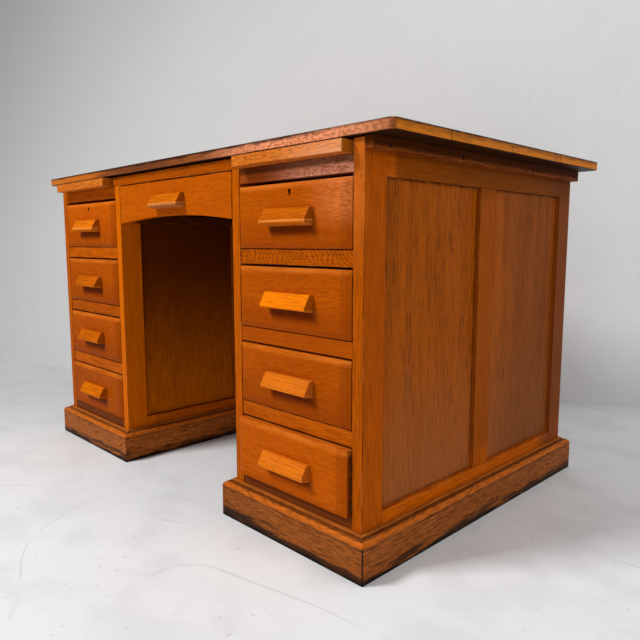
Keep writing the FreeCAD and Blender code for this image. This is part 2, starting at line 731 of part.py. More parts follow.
def centre_runners():
    """Runners below and kickers above the centre drawer, on the sides of the kneehole."""
    start = "Sizes.front_thickness + Sizes.drawer_bottom_gap"
    low = "Places.centre_runner_level - Sizes.centre_runner_height"
    over = ("(Places.centre_runner_level + Sizes.runner_gap + Sizes.centre_side_height"
            " + Sizes.kicker_gap)")
    pieces = []
    for side, x in (("left", "-Places.knee_half"), ("right", "Places.knee_half - Sizes.runner_width")):
        pieces.append(board(f"centre_runner_{side}",
                            ("Sizes.runner_width", f"Places.back_face - ({start})",
                             "Sizes.centre_runner_height"),
                            (x, start, low)))
        pieces.append(board(f"centre_kicker_{side}",
                            ("Sizes.runner_width", "Places.back_face - Sizes.frieze_depth",
                             f"Places.under_top - {over}"),
                            (x, "Sizes.frieze_depth", over)))
    stand(node("centre_runners", pieces), "0", "0", "0")


def drawer_stops():
    """Stop blocks behind each drawer front, and behind the back of the centre drawer."""
    block = ("Sizes.stop_width", "Sizes.stop_length", "Sizes.stop_height")
    rest = "Sizes.front_thickness + Sizes.runner_gap"
    pieces = []
    for side in ("right", "left"):
        near = "Places.bay_near" if side == "right" else "-Places.bay_far"
        for level in range(RAILS - 1):
            for index, share in enumerate(STOP_SHARES):
                x = f"{near} + {share} * Places.bay_width - Sizes.stop_width / 2"
                pieces.append(board(f"{side}_stop_{level}_{index}", block,
                                    (x, rest, f"Places.rail_level_{level}")))
    tail = "Places.centre_drawer_length + Sizes.runner_gap"
    block = ("Sizes.runner_width", "Sizes.stop_length", "Sizes.stop_width")
    for side, x in (("left", "-Places.knee_half"), ("right", "Places.knee_half - Sizes.runner_width")):
        pieces.append(board(f"centre_stop_{side}", block, (x, tail, "Places.centre_runner_level")))
    stand(node("drawer_stops", pieces), "0", "0", "0")


# Drawers
# A drawer stands on local axes: its front face plane at Y = 0, its lower left corner at X = Z = 0.


def tail_levels(index, count, foot, height):
    """Heights of one dovetail: root low, tip low, tip high and root high."""
    pitch = f"({height}) / {count}"
    middle = f"({foot}) + ({index} + 0.5) * {pitch}"
    tip = f"{TAIL_TIP_SHARE} / 2 * {pitch}"
    root = f"{TAIL_ROOT_SHARE} / 2 * {pitch}"
    return [f"{middle} - {root}", f"{middle} - {tip}", f"{middle} + {tip}", f"{middle} + {root}"]


def drawer_side(name, foot, height, length, tails):
    """Drawer side with its row of dovetails, groove for the bottom and rebate for the back."""
    root = "Sizes.front_thickness"
    points = [(root, foot)]
    for index in range(tails):
        low, tip_low, tip_high, high = tail_levels(index, tails, foot, height)
        points += [(root, low), ("Sizes.front_lap", tip_low), ("Sizes.front_lap", tip_high), (root, high)]
    top = f"{foot} + {height}"
    points += [(root, top), (length, top), (length, foot)]
    body = padded(name, "YZ", points, "Sizes.side_thickness")
    groove = rectangle("0", f"{foot} + Sizes.bottom_raise", f"{length} + Sizes.cut_over",
                       "Sizes.bottom_thickness")
    cut_outlines(body, "groove", "YZ", [groove], "Sizes.bottom_groove", False, "Sizes.side_thickness")
    rebate = rectangle(f"{length} - Sizes.back_board_thickness", f"{foot} - Sizes.cut_over",
                       "Sizes.back_board_thickness + Sizes.cut_over", f"{height} + 2 * Sizes.cut_over")
    cut_outlines(body, "rebate", "YZ", [rebate], "Sizes.back_rebate", False, "Sizes.side_thickness")
    return body


def drawer_box(name, width, foot, height, length, tails):
    """Two dovetailed sides, the back and the bottom of a drawer."""
    left = drawer_side(f"{name}_left_side", foot, height, length, tails)
    right = doc.addObject("Part::Mirroring", f"{name}_right_side")
    right.Source = left
    right.Normal = FreeCAD.Vector(1, 0, 0)
    right.setExpression("Base.x", f"{width} / 2")
    floor = f"{foot} + Sizes.bottom_raise"
    inset = "(Sizes.side_thickness - Sizes.back_rebate)"
    back = board(f"{name}_back",
                 (f"{width} - 2 * {inset}", "Sizes.back_board_thickness",
                  f"{height} - Sizes.bottom_raise - Sizes.bottom_thickness - Sizes.back_drop"),
                 (inset, f"{length} - Sizes.back_board_thickness", f"{floor} + Sizes.bottom_thickness"))
    edge = "(Sizes.side_thickness - Sizes.bottom_groove + Sizes.bottom_play)"
    start = "(Sizes.front_thickness - Sizes.bottom_groove + Sizes.bottom_play)"
    bottom = board(f"{name}_bottom",
                   (f"{width} - 2 * {edge}", f"{length} - {start}", "Sizes.bottom_thickness"),
                   (edge, start, floor))
    return node(f"{name}_box", [left, right, back, bottom])


def front_sockets(body, width, foot, height, tails):
    """Lapped sockets for the dovetails, cut from both ends of a drawer front."""
    root = "Sizes.front_thickness"
    beyond = f"{root} + Sizes.cut_over"
    loops = []
    for index in range(tails):
        low, tip_low, tip_high, high = tail_levels(index, tails, foot, height)
        loops.append([(beyond, low), (root, low), ("Sizes.front_lap", tip_low),
                      ("Sizes.front_lap", tip_high), (root, high), (beyond, high)])
    cut_outlines(body, "left_sockets", "YZ", loops, "Sizes.side_thickness", True, "0")
    cut_outlines(body, "right_sockets", "YZ", loops, "Sizes.side_thickness", False, width)


def front_groove(body, width, foot):
    """Groove along the back of a drawer front for the edge of the bottom."""
    groove = rectangle("0", f"{foot} + Sizes.bottom_raise", width, "Sizes.bottom_thickness")
    cut_outlines(body, "groove", "XZ", [groove], "Sizes.bottom_groove", True,
                 "-Sizes.front_thickness")


def raised_field(body, width, height):
    """Raised field of a drawer front, bevelled on all four sides."""
    edge = new_sketch(body, f"{body.Name}_field_foot", "XZ", "0")
    outline(edge, rectangle("0", "0", width, height))
    face = new_sketch(body, f"{body.Name}_field_face", "XZ", "Sizes.field_depth")
    outline(face, rectangle("Sizes.field_bevel", "Sizes.field_bevel",
                            f"{width} - 2 * Sizes.field_bevel", f"{height} - 2 * Sizes.field_bevel"))
    loft = body.newObject("PartDesign::AdditiveLoft", f"{body.Name}_field")
    loft.Profile = edge
    loft.Sections = [face]
    loft.Ruled = True


def keyhole_outline(middle, head, slot, radius):
    """Keyhole: a slot below a round head, as one outline with a long arc over the top."""
    half = f"{slot} / 2"
    neck = f"{head} - sqrt({radius} ^ 2 - ({half}) ^ 2)"
    foot = f"{head} - Sizes.keyhole_slot_length"
    return [(f"{middle} - {half}", foot), (f"{middle} + {half}", foot),
            (f"{middle} + {half}", neck), (f"{middle} - {half}", neck)]


def cut_keyhole(body, middle, head, depth, offset):
    """Cut a keyhole from the front towards the back: slot, then round head."""
    cut_outlines(body, "key_slot", "XZ",
                 [keyhole_outline(middle, head, "Sizes.keyhole_slot_width", "Sizes.keyhole_radius")],
                 depth, False, offset)
    cut_circles(body, "key_head", "XZ", [(middle, head)], "Sizes.keyhole_radius", depth, False, offset)


def drawer_front(name, width, height, foot, side_height, tails, fielded=True, arch=False, lock=False):
    """Drawer front board, with a raised field or an arched lower edge."""
    points = rectangle("0", "0", width, height)
    arcs = {0: ("Places.arch_radius", -1)} if arch else None
    body = padded(f"{name}_front_wood", "XZ", points, "Sizes.front_thickness", back=True, arcs=arcs)
    if fielded:
        raised_field(body, width, height)
    front_sockets(body, width, foot, side_height, tails)
    front_groove(body, width, foot)
    if lock:
        middle = f"{width} / 2"
        cut_keyhole(body, middle, f"{height} - Sizes.keyhole_drop",
                    "Sizes.front_thickness + Sizes.field_depth + 2 * Sizes.cut_over",
                    "Sizes.field_depth + Sizes.cut_over")
        housing = rectangle(f"{middle} - Sizes.lock_width / 2", f"{height} - Sizes.lock_height",
                            "Sizes.lock_width", "Sizes.lock_height + Sizes.cut_over")
        cut_outlines(body, "lock_housing", "XZ", [housing], "Sizes.lock_depth", True,
                     "-Sizes.front_thickness")
    return node(f"{name}_front", [body])


def drawer_lock(name, width, height):
    """Steel box lock let into the back of a top drawer's front, its bolt drawn in."""
    low_y = "Sizes.front_thickness - Sizes.lock_depth"
    middle = f"{width} / 2"
    case = padded(f"{name}_lock_case", "XZ",
                  rectangle(f"{middle} - Sizes.lock_width / 2", f"{height} - Sizes.lock_height",
                            "Sizes.lock_width", "Sizes.lock_height"),
                  "Sizes.lock_depth", back=True, offset=f"-({low_y})")
    bolt_x = f"{middle} - Sizes.bolt_width / 2"
    bolt_y = f"{low_y} + (Sizes.lock_depth - Sizes.bolt_thickness) / 2"
    slot = rectangle(bolt_x, bolt_y, "Sizes.bolt_width", "Sizes.bolt_thickness")
    cut_outlines(case, "bolt_slot", "XY", [slot], "Sizes.bolt_length", False, height)
    bolt = board(f"{name}_lock_bolt", ("Sizes.bolt_width", "Sizes.bolt_thickness", "Sizes.bolt_length"),
                 (bolt_x, bolt_y, f"{height} - Sizes.bolt_length"))
    return node(f"{name}_lock", [case, bolt])


def drawer_pull(name, width, height, front_plane):
    """Wedge-shaped wooden pull: thin at the top, undercut behind the lip along its lower edge."""
    section = [("0", "0"), ("0", "Sizes.pull_height"),
               ("-Sizes.pull_top_projection", "Sizes.pull_height"),
               ("-Sizes.pull_projection", "Sizes.pull_undercut + Sizes.pull_lip"),
               ("-Sizes.pull_projection", "Sizes.pull_undercut")]
    body = padded(f"{name}_pull_wood", "YZ", section, "Sizes.pull_width")
    put(body, f"({width} - Sizes.pull_width) / 2", f"-({front_plane})",
        f"({height} - Sizes.pull_height) / 2")
    return node(f"{name}_pull", [body])


def pedestal_drawers():
    """Four drawers in each pedestal, numbered from the top, the lowest right one left ajar."""
    width = "Places.front_width"
    for side in ("right", "left"):
        near = "Places.bay_near" if side == "right" else "-Places.bay_far"
        for number in range(1, RAILS):
            name = f"{side}_drawer_{number}"
            level = RAILS - 1 - number
            height = FRONT_HEIGHTS.get(number, "Places.upper_front")
            side_height = f"{height} - Places.side_foot - Sizes.side_drop"
            lock = number == 1
            parts = [drawer_front(name, width, height, "Places.side_foot", side_height,
                                  PEDESTAL_TAILS, lock=lock),
                     drawer_box(name, width, "Places.side_foot", side_height, "Places.drawer_length",
                                PEDESTAL_TAILS),
                     drawer_pull(name, width, f"{height} - 2 * Sizes.pull_drop", "Sizes.field_depth")]
            if lock:
                parts.append(drawer_lock(name, width, height))
            ajar = "-Sizes.ajar" if (side, level) == ("right", 0) else "0"
            for part in parts:
                stand(part, f"{near} + Sizes.drawer_side_gap", ajar,
                      f"Places.rail_level_{level} + Sizes.drawer_bottom_gap")


def centre_drawer():
    """Shallow drawer over the kneehole, its plain front arched along the lower edge."""
    name = "centre_drawer"
    width = "Places.centre_width"
    parts = [drawer_front(name, width, "Sizes.centre_front_height", "Places.centre_side_foot",
                          "Sizes.centre_side_height", CENTRE_TAILS, fielded=False, arch=True),
             drawer_box(name, width, "Places.centre_side_foot", "Sizes.centre_side_height",
                        "Places.centre_drawer_length", CENTRE_TAILS),
             drawer_pull(name, width, "Sizes.centre_front_height", "0")]
    for part in parts:
        stand(part, f"-{width} / 2", "0", "Places.centre_level")


def writing_slides():
    """Pull-out writing slide above each pedestal: lipped board with a stop below it."""
    width = "Places.slide_width"
    slot_low = "(Sizes.slide_thickness - Sizes.lipping_tongue_thickness) / 2"
    slot_high = "(Sizes.slide_thickness + Sizes.lipping_tongue_thickness) / 2"
    front = "-Sizes.slide_projection"
    seam = "Places.lipping_back"
    rear = "Places.slide_rear"
    bed = f"{seam} - Sizes.lipping_tongue"
    tip = f"{bed} + Sizes.tongue_play"
    thick = "Sizes.slide_thickness"
    lipping_section = [(front, "0"), (seam, "0"), (seam, slot_low), (bed, slot_low), (bed, slot_high),
                       (seam, slot_high), (seam, thick), (front, thick)]
    board_section = [(seam, "0"), (rear, "0"), (rear, thick), (seam, thick), (seam, slot_high),
                     (tip, slot_high), (tip, slot_low), (seam, slot_low)]
    for side in ("right", "left"):
        low = "Places.slide_near" if side == "right" else "-Places.bay_far"
        name = f"{side}_slide"
        lipping = padded(f"{name}_lipping_wood", "YZ", lipping_section, width)
        leaf = padded(f"{name}_leaf", "YZ", board_section, width)
        stop = board(f"{name}_stop", ("Sizes.slide_stop_width", "Sizes.stop_length", "Sizes.slide_stop_drop"),
                     (f"({width} - Sizes.slide_stop_width) / 2", f"{rear} - Sizes.slide_stop_from_rear",
                      "-Sizes.slide_stop_drop"))
        for label, pieces in ((f"{name}_lipping", [lipping]), (f"{name}_board", [leaf, stop])):
            stand(node(label, pieces), f"{low} + Sizes.slide_side_gap", "0", "Places.slide_level")


def check_model():
    """Stop if an object failed, a cut removed nothing or a sub-part has no sound solid."""
    for item in doc.Objects:
        if {"Invalid", "Error"} & set(item.State):
            raise RuntimeError(f"{item.Name} failed: {item.State}")
        if item.TypeId == "PartDesign::Pocket":
            if not item.Shape.Volume < item.BaseFeature.Shape.Volume:
                raise RuntimeError(f"{item.Name} removed no wood")
    for item in nodes:
        if item.Shape.isNull() or not item.Shape.isValid() or not item.Shape.Solids:
            raise RuntimeError(f"{item.Label} has no sound solid")


def write_steps():
    """Write one STEP file for each sub-part."""
    os.makedirs("parts", exist_ok=True)
    for item in nodes:
        item.Shape.exportStep(f"parts/{item.Label}.step")


def build():
    """Make every sub-part of the desk, check them and write them out."""
    desktop()
    side_frames()
    back_frames()
    drawer_rails()
    runners()
    plinths()
    battens()
    for item in list(nodes):
        if item.Label.startswith("right_"):
            mirrored(item, item.Label.replace("right_", "left_"))
    batten_screws()
    frieze_rail()
    centre_runners()
    drawer_stops()
    writing_slides()
    pedestal_drawers()
    centre_drawer()
    doc.recompute()
    check_model()
    write_steps()
    print(len(nodes), "sub-parts,", sum(len(item.Shape.Solids) for item in nodes), "solids")


build()
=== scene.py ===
"""Double pedestal desk in worn golden oak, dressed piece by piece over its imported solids."""

import json
import logging
import math
import random
from collections import defaultdict
from collections.abc import Callable
from dataclasses import dataclass, fields, replace
from enum import Enum
from functools import cached_property

import bmesh
import bpy
import numpy as np
from mathutils import Matrix, Vector


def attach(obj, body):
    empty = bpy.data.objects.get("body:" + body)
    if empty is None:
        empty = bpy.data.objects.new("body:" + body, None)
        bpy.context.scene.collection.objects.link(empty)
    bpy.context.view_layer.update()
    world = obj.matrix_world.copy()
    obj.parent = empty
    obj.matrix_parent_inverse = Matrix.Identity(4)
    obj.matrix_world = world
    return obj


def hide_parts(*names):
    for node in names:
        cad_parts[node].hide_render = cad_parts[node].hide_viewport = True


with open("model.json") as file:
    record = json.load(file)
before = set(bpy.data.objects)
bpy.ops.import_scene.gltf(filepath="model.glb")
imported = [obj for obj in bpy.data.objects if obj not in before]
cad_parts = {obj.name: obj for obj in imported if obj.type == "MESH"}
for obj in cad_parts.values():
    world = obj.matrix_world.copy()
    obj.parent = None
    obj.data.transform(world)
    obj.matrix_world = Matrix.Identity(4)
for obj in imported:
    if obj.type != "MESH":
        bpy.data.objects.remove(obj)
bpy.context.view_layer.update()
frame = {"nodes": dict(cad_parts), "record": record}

LOG = logging.getLogger("desk")
MM = 0.001

Colour = tuple[float, float, float]
Place = tuple[float, float, float]
Band = tuple[float, float]


# Node trees


class Channel:
    """A shader socket that can be used in Python sums."""

    def __init__(self, recipe: "Wiring", socket: bpy.types.NodeSocket) -> None:
        """Keep the socket and the tree that its sums are added to."""
        self.recipe = recipe
        self.socket = socket

    def __add__(self, other: "Channel | float") -> "Channel":
        """This plus other."""
        return self.recipe.math("ADD", self, other)

    def __radd__(self, other: float) -> "Channel":
        """Other plus this."""
        return self.recipe.math("ADD", other, self)

    def __sub__(self, other: "Channel | float") -> "Channel":
        """This minus other."""
        return self.recipe.math("SUBTRACT", self, other)

    def __rsub__(self, other: float) -> "Channel":
        """Other minus this."""
        return self.recipe.math("SUBTRACT", other, self)

    def __mul__(self, other: "Channel | float") -> "Channel":
        """This times other."""
        return self.recipe.math("MULTIPLY", self, other)

    def __rmul__(self, other: float) -> "Channel":
        """Other times this."""
        return self.recipe.math("MULTIPLY", other, self)

    def __truediv__(self, other: "Channel | float") -> "Channel":
        """This over other."""
        return self.recipe.math("DIVIDE", self, other)

    def __abs__(self) -> "Channel":
        """Size without sign."""
        return self.recipe.math("ABSOLUTE", self)

    def least(self, other: "Channel | float") -> "Channel":
        """The smaller of this and other."""
        return self.recipe.math("MINIMUM", self, other)

    def most(self, other: "Channel | float") -> "Channel":
        """The larger of this and other."""
        return self.recipe.math("MAXIMUM", self, other)

    def rise(self, low: float, high: float) -> "Channel":
        """Smooth rise from 0 at low to 1 at high, or a fall if low is the larger.

        Args:
            low: Value where the result is 0.
            high: Value where the result is 1.

        Returns:
            A channel between 0 and 1.
        """
        found = self.recipe.node("ShaderNodeMapRange",
                                 {"interpolation_type": "SMOOTHSTEP", "clamp": True},
                                 {"Value": self, "From Min": low, "From Max": high})
        return found("Result")


class Wiring:
    """Adds nodes to one node tree from Python."""

    def __init__(self, tree: bpy.types.NodeTree) -> None:
        """Keep the tree."""
        self.tree = tree

    def node(self, kind: str, settings: dict[str, object],
             sockets: dict[str | int, object]) -> Callable[[str | int], Channel]:
        """Add one node.

        Args:
            kind: Type name of the node.
            settings: Properties, set before the sockets.
            sockets: Input name or number to a value, a channel or a socket.

        Returns:
            A function from the name or number of an output to its channel.
        """
        made = self.tree.nodes.new(kind)
        for name, setting in settings.items():
            setattr(made, name, setting)
        for name, content in sockets.items():
            source = content.socket if isinstance(content, Channel) else content
            if isinstance(source, bpy.types.NodeSocket):
                self.tree.links.new(source, made.inputs[name])
            else:
                made.inputs[name].default_value = content
        return lambda output: Channel(self, made.outputs[output])

    def math(self, operation: str, *values: Channel | float) -> Channel:
        """Add one Math node and give its result."""
        return self.node("ShaderNodeMath", {"operation": operation}, dict(enumerate(values)))("Value")

    def join(self, **values: Channel | float) -> Channel:
        """A vector from numbers for X, Y and Z."""
        return self.node("ShaderNodeCombineXYZ", {}, values)("Vector")


class Recipe(Wiring):
    """The node tree of one material."""

    def __init__(self, name: str) -> None:
        """Start an empty node material.

        Args:
            name: Name of the material.
        """
        self.material = bpy.data.materials.new(name)
        self.material.use_nodes = True
        super().__init__(self.material.node_tree)
        self.tree.nodes.clear()

    def vector(self, operation: str, *values: Channel | Colour) -> Channel:
        """Add one Vector Math node and give its vector."""
        return self.node("ShaderNodeVectorMath", {"operation": operation},
                         dict(enumerate(values)))("Vector")

    def attribute(self, name: str) -> Channel:
        """Vector attribute of the mesh."""
        return self.node("ShaderNodeAttribute", {"attribute_name": name}, {})("Vector")

    @cached_property
    def grain(self) -> Channel:
        """Grain coordinates of each board, in metres, with the pith along their X axis."""
        return self.attribute("grain")

    def object_place(self) -> Channel:
        """Object coordinates, which are the desk's own in metres."""
        return self.node("ShaderNodeTexCoord", {}, {})("Object")

    def split(self, vector: Channel) -> list[Channel]:
        """The three numbers of a vector."""
        found = self.node("ShaderNodeSeparateXYZ", {}, {0: vector})
        return [found(axis) for axis in "XYZ"]

    def level(self, colour: Channel, factor: Channel) -> Channel:
        """Lighten or darken a colour by one factor."""
        return self.vector("MULTIPLY", colour, self.join(X=factor, Y=factor, Z=factor))

    def noise(self, where: Channel, cells: Place, detail: float = 2.0) -> Channel:
        """Noise near 0.5 with its own fineness along each axis.

        Args:
            where: Coordinates in metres.
            cells: Cells per metre along the three axes.
            detail: Octaves of finer noise.

        Returns:
            A channel near 0.5.
        """
        scaled = self.vector("MULTIPLY", where, cells)
        return self.node("ShaderNodeTexNoise", {"noise_dimensions": "3D"},
                         {"Vector": scaled, "Scale": 1.0, "Detail": detail})("Fac")

    def blend(self, amount: Channel | float, first: Channel | Colour,
              second: Channel | Colour) -> Channel:
        """Mix two colours.

        Args:
            amount: 0 gives the first colour and 1 the second.
            first: Colour or channel.
            second: Colour or channel.

        Returns:
            The mixed colour.
        """
        inks = [ink if isinstance(ink, Channel) else (*ink, 1.0) for ink in (first, second)]
        found = self.node("ShaderNodeMix", {"data_type": "RGBA", "clamp_factor": True},
                          {0: amount, 6: inks[0], 7: inks[1]})
        return found(2)

    def finish(self, colour: Channel, roughness: Channel, height: Channel | None = None,
               depth: float = 0.0, **constants: float) -> bpy.types.Material:
        """Close the recipe with a surface shader.

        Args:
            colour: Base colour.
            roughness: Roughness.
            height: Height that the bump follows, or None for a smooth surface.
            depth: Depth of the bump in metres.
            constants: Constant sockets of the shader by name, with underscores for spaces.

        Returns:
            The finished material.
        """
        sockets: dict[str | int, object] = {"Base Color": colour, "Roughness": roughness}
        if height is not None:
            bump = self.node("ShaderNodeBump", {},
                             {"Strength": 1.0, "Distance": depth, "Height": height})
            sockets["Normal"] = bump("Normal")
        sockets.update({name.replace("_", " "): content for name, content in constants.items()})
        shader = self.node("ShaderNodeBsdfPrincipled", {}, sockets)
        self.node("ShaderNodeOutputMaterial", {}, {"Surface": shader("BSDF")})
        return self.material


# Finishes


class Way(Enum):
    """What a fade is measured along: an axis of the desk, or a board from its middle."""

    X = ("desk", 0)
    Y = ("desk", 1)
    Z = ("desk", 2)
    LENGTH = ("board", 0)
    WIDTH = ("board", 1)


@dataclass(frozen=True)
class Patches:
    """Soft patches of noise, with none under its low level and all over its high one."""

    cells: Place
    low: float = 0.5
    high: float = 0.6
    detail: float = 1.0

    def draw(self, recipe: Recipe, where: Channel) -> Channel:
        """Draw the patches at some coordinates."""
        return recipe.noise(where, self.cells, self.detail).rise(self.low, self.high)


@dataclass(frozen=True)
class Sway:
    """Noise that bends growth rings over a span of some ring widths."""

    cells: Place
    rings: float

    def push(self, recipe: Recipe, ring: float) -> Channel:
        """The push to either side in metres, for rings of one width."""
        return (recipe.noise(recipe.grain, self.cells) - 0.5) * (self.rings * ring)


@dataclass(frozen=True)
class Fade:
    """Rise from 0 at start to 1 at full along one way, or by the distance from a middle.

    The stain's noise moves a ragged edge about, over the width given in metres.
    """

    way: Way
    start: float
    full: float
    ragged: float = 0.0
    middle: float | None = None


@dataclass(frozen=True)
class StainAndLight:
    """A patch of grime, wax, wear, painted light or painted shade, as strong as the product of its
    fades.
    """

    colour: Colour
    depth: float
    fades: tuple[Fade, ...]
    broken: float = 0.0
    cells: Place = (12.0, 90.0, 90.0)
    breaks: Band = (0.4, 0.62)

    def add(self, recipe: Recipe, body: Channel) -> Channel:
        """Lay the stain over a colour.

        Args:
            recipe: The material's recipe.
            body: Colour below the stain.

        Returns:
            The stained colour.
        """
        places = {"desk": recipe.split(recipe.object_place()),
                  "board": recipe.split(recipe.attribute("place"))}
        noise = recipe.noise(recipe.grain, self.cells, detail=3.0)
        amount = None
        for fade in self.fades:
            space, axis = fade.way.value
            along = places[space][axis]
            if fade.ragged:
                along = along + (noise - 0.5) * fade.ragged
            if fade.middle is not None:
                along = abs(along - fade.middle)
            step = along.rise(fade.start, fade.full)
            amount = step if amount is None else amount * step
        if self.broken:
            amount = amount * (1.0 - noise.rise(*self.breaks) * self.broken)
        return recipe.blend(amount * self.depth, body, self.colour)


@dataclass(frozen=True)
class Crossing:
    """Growth rings that run across a narrow rail and lean more and more along it."""

    colour: Colour
    depth: float
    pitch: float
    lean: float
    left_end: float
    low: float
    high: float
    sway: Sway = Sway((12.0, 45.0, 45.0), 4.5)
    line: Band = (0.55, 0.95)

    def add(self, recipe: Recipe, body: Channel) -> Channel:
        """Draw the rings over a colour, on the right rail between two heights.

        Args:
            recipe: The material's recipe.
            body: Colour between the rings.

        Returns:
            The figured colour.
        """
        side, _, height = recipe.split(recipe.object_place())
        along, _, _ = recipe.split(recipe.attribute("place"))
        wander = self.sway.push(recipe, self.pitch)
        skew = (along - self.left_end) * (height - self.low) * self.lean
        turns = (along + skew + wander) / self.pitch
        line = recipe.math("FRACT", turns).rise(*self.line)
        here = height.rise(self.low, self.low + MM) * height.rise(self.high, self.high - MM)
        return recipe.blend(line * here * side.rise(0.0, MM) * self.depth, body, self.colour)


@dataclass(frozen=True)
class Figure:
    """How rings, pores, flecks and clouds lie in every board of oak."""

    wander: Sway = Sway((1.4, 8.0, 8.0), 10.0)
    ripple: Sway = Sway((9.0, 70.0, 70.0), 1.2)
    late: Band = (0.2, 0.95)
    early: Band = (0.6, 0.1)
    bundles: Patches = Patches((5.0, 300.0, 300.0), 0.46, 0.7, 2.0)
    vessels: Patches = Patches((70.0, 1400.0, 1400.0), 0.48, 0.64)
    streak_depth: float = 0.8
    vessel_depth: float = 0.5
    late_pores: float = 0.5
    pore_roughness: float = 0.25
    flecks: Patches = Patches((330.0, 60.0, 60.0), 0.52, 0.62)
    fleck_lean: float = 0.5
    fleck_places: Patches = Patches((12.0, 30.0, 30.0), 0.4, 0.6)
    cloud: Place = (2.2, 16.0, 16.0)
    clouded: Band = (0.42, 0.72)
    cloud_roughness: float = 0.3


@dataclass(frozen=True)
class Oak:
    """Oak with its own colours, grime, wear and painted light and shade, drawn along the grain of each
    board.
    """

    name: str
    pale: Colour
    dark: Colour
    figure: Figure = Figure()
    pore: Colour = (0.03, 0.006, 0.001)
    ring: float = 3.6 * MM
    ring_depth: float = 0.4
    pore_depth: float = 0.7
    bundle_depth: float = 0.15
    streaks: Patches = Patches((16.0, 520.0, 520.0))
    fleck_depth: float = 0.0
    mottle: float = 0.3
    tone_spread: float = 0.1
    redness: float = 0.9
    end: Colour | None = None
    end_depth: float = 0.8
    end_width: Band = (0.9 * MM, 0.2 * MM)
    border: float = 0.0
    handled: Place = (26.0, 60.0, 60.0)
    worn: Colour = (0.6, 0.2, 0.05)
    worn_depth: float = 0.25
    worn_width: Band = (2.6 * MM, 0.6 * MM)
    worn_patches: Band = (0.5, 0.6)
    # Grime along the arrises, which also paints the shade in the gaps between parts
    dirt: Colour = (0.016, 0.004, 0.001)
    dirt_depth: float = 0.85
    dirt_width: float = 1.6 * MM
    dirt_core: float = 0.3 * MM
    dirt_patches: Band = (0.8, 0.36)
    roughness: float = 0.34
    specular: float = 0.015
    relief: float = 0.1 * MM
    stains: tuple[StainAndLight | Crossing, ...] = ()

    def build(self) -> bpy.types.Material:
        """Write the node material of this finish.

        Returns:
            The finished material.
        """
        recipe = Recipe(self.name)
        late, early = self._rings(recipe)
        pores = self._pores(recipe, early)
        cloud = recipe.noise(recipe.grain, self.figure.cloud, detail=3.0)
        body = recipe.blend(late * self.ring_depth, self.pale, self.dark)
        body = recipe.blend(cloud.rise(*self.figure.clouded) * self.mottle, body, self.dark)
        body = self._board_tone(recipe, body)
        body = recipe.blend(pores * self.pore_depth, body, self.pore)
        if self.fleck_depth:
            body = recipe.blend(self._flecks(recipe) * self.fleck_depth, body, self.pore)
        body = self._handling(recipe, body)
        for overlay in self.stains:
            body = overlay.add(recipe, body)
        rough = self.roughness + pores * self.figure.pore_roughness
        rough = rough + (cloud - 0.5) * self.figure.cloud_roughness
        return recipe.finish(body, rough, 1.0 - pores, self.relief, Specular_IOR_Level=self.specular)

    def _rings(self, recipe: Recipe) -> tuple[Channel, Channel]:
        """Growth rings about a pith beside the board.

        Args:
            recipe: The material's recipe.

        Returns:
            Strength of the late wood and of the early wood.
        """
        wander = self.figure.wander.push(recipe, self.ring)
        ripple = self.figure.ripple.push(recipe, self.ring)
        _, across, through = recipe.split(recipe.grain)
        radius = recipe.math("SQRT", across * across + through * through)
        wave = recipe.math("FRACT", (radius + wander + ripple) / self.ring)
        return wave.rise(*self.figure.late), wave.rise(*self.figure.early)

    def _pores(self, recipe: Recipe, early: Channel) -> Channel:
        """Open pores, drawn out along the grain and thickest in the early wood.

        Args:
            recipe: The material's recipe.
            early: Strength of the early wood.

        Returns:
            Strength of the pores.
        """
        figure = self.figure
        bundle = figure.bundles.draw(recipe, recipe.grain) * self.bundle_depth
        streak = self.streaks.draw(recipe, recipe.grain) * figure.streak_depth
        vessel = figure.vessels.draw(recipe, recipe.grain) * figure.vessel_depth
        fine = (streak + vessel) * (figure.late_pores + early * (1.0 - figure.late_pores))
        return (bundle + fine).least(1.0)

    def _flecks(self, recipe: Recipe) -> Channel:
        """Ray flecks, short and across the grain.

        Args:
            recipe: The material's recipe.

        Returns:
            Strength of the flecks.
        """
        turn = (0.0, 0.0, self.figure.fleck_lean)
        leaning = recipe.node("ShaderNodeMapping", {}, {"Vector": recipe.grain, "Rotation": turn})
        fleck = self.figure.flecks.draw(recipe, leaning("Vector"))
        return fleck * self.figure.fleck_places.draw(recipe, recipe.grain)

    def _board_tone(self, recipe: Recipe, body: Channel) -> Channel:
        """Lighten or darken each board by its own amount; the darker ones are redder too.

        Args:
            recipe: The material's recipe.
            body: Colour of the wood.

        Returns:
            Colour of this board.
        """
        lift, _, _ = recipe.split(recipe.attribute("tone"))
        body = recipe.level(body, 1.0 + (lift - 0.5) * (2.0 * self.tone_spread))
        return recipe.blend((0.5 - lift).most(0.0) * self.redness, body, self.dark)

    def _handling(self, recipe: Recipe, body: Channel) -> Channel:
        """Darken end grain, and lay wear, grime and painted shade along the arrises of each board, or
        along a line set in by the border.

        Args:
            recipe: The material's recipe.
            body: Colour of the clean wood.

        Returns:
            Colour of the wood with its wear, grime and painted shade.
        """
        distance = recipe.vector("SUBTRACT", recipe.attribute("half"),
                                 recipe.vector("ABSOLUTE", recipe.attribute("place")))
        end, edge, face = recipe.split(distance)
        ends = end.rise(*self.end_width) * self.end_depth
        body = recipe.blend(ends, body, self.end or self.dark)
        least, most = end.least(edge), end.most(edge)
        arris = least.most(most.least(face))
        if self.border:
            arris = abs(least - self.border)
        patch = recipe.noise(recipe.grain, self.handled)
        worn = arris.rise(*self.worn_width) * patch.rise(*self.worn_patches)
        body = recipe.blend(worn * self.worn_depth, body, self.worn)
        dirt = arris.rise(self.dirt_width, self.dirt_core) * patch.rise(*self.dirt_patches)
        return recipe.blend(dirt * self.dirt_depth, body, self.dirt)


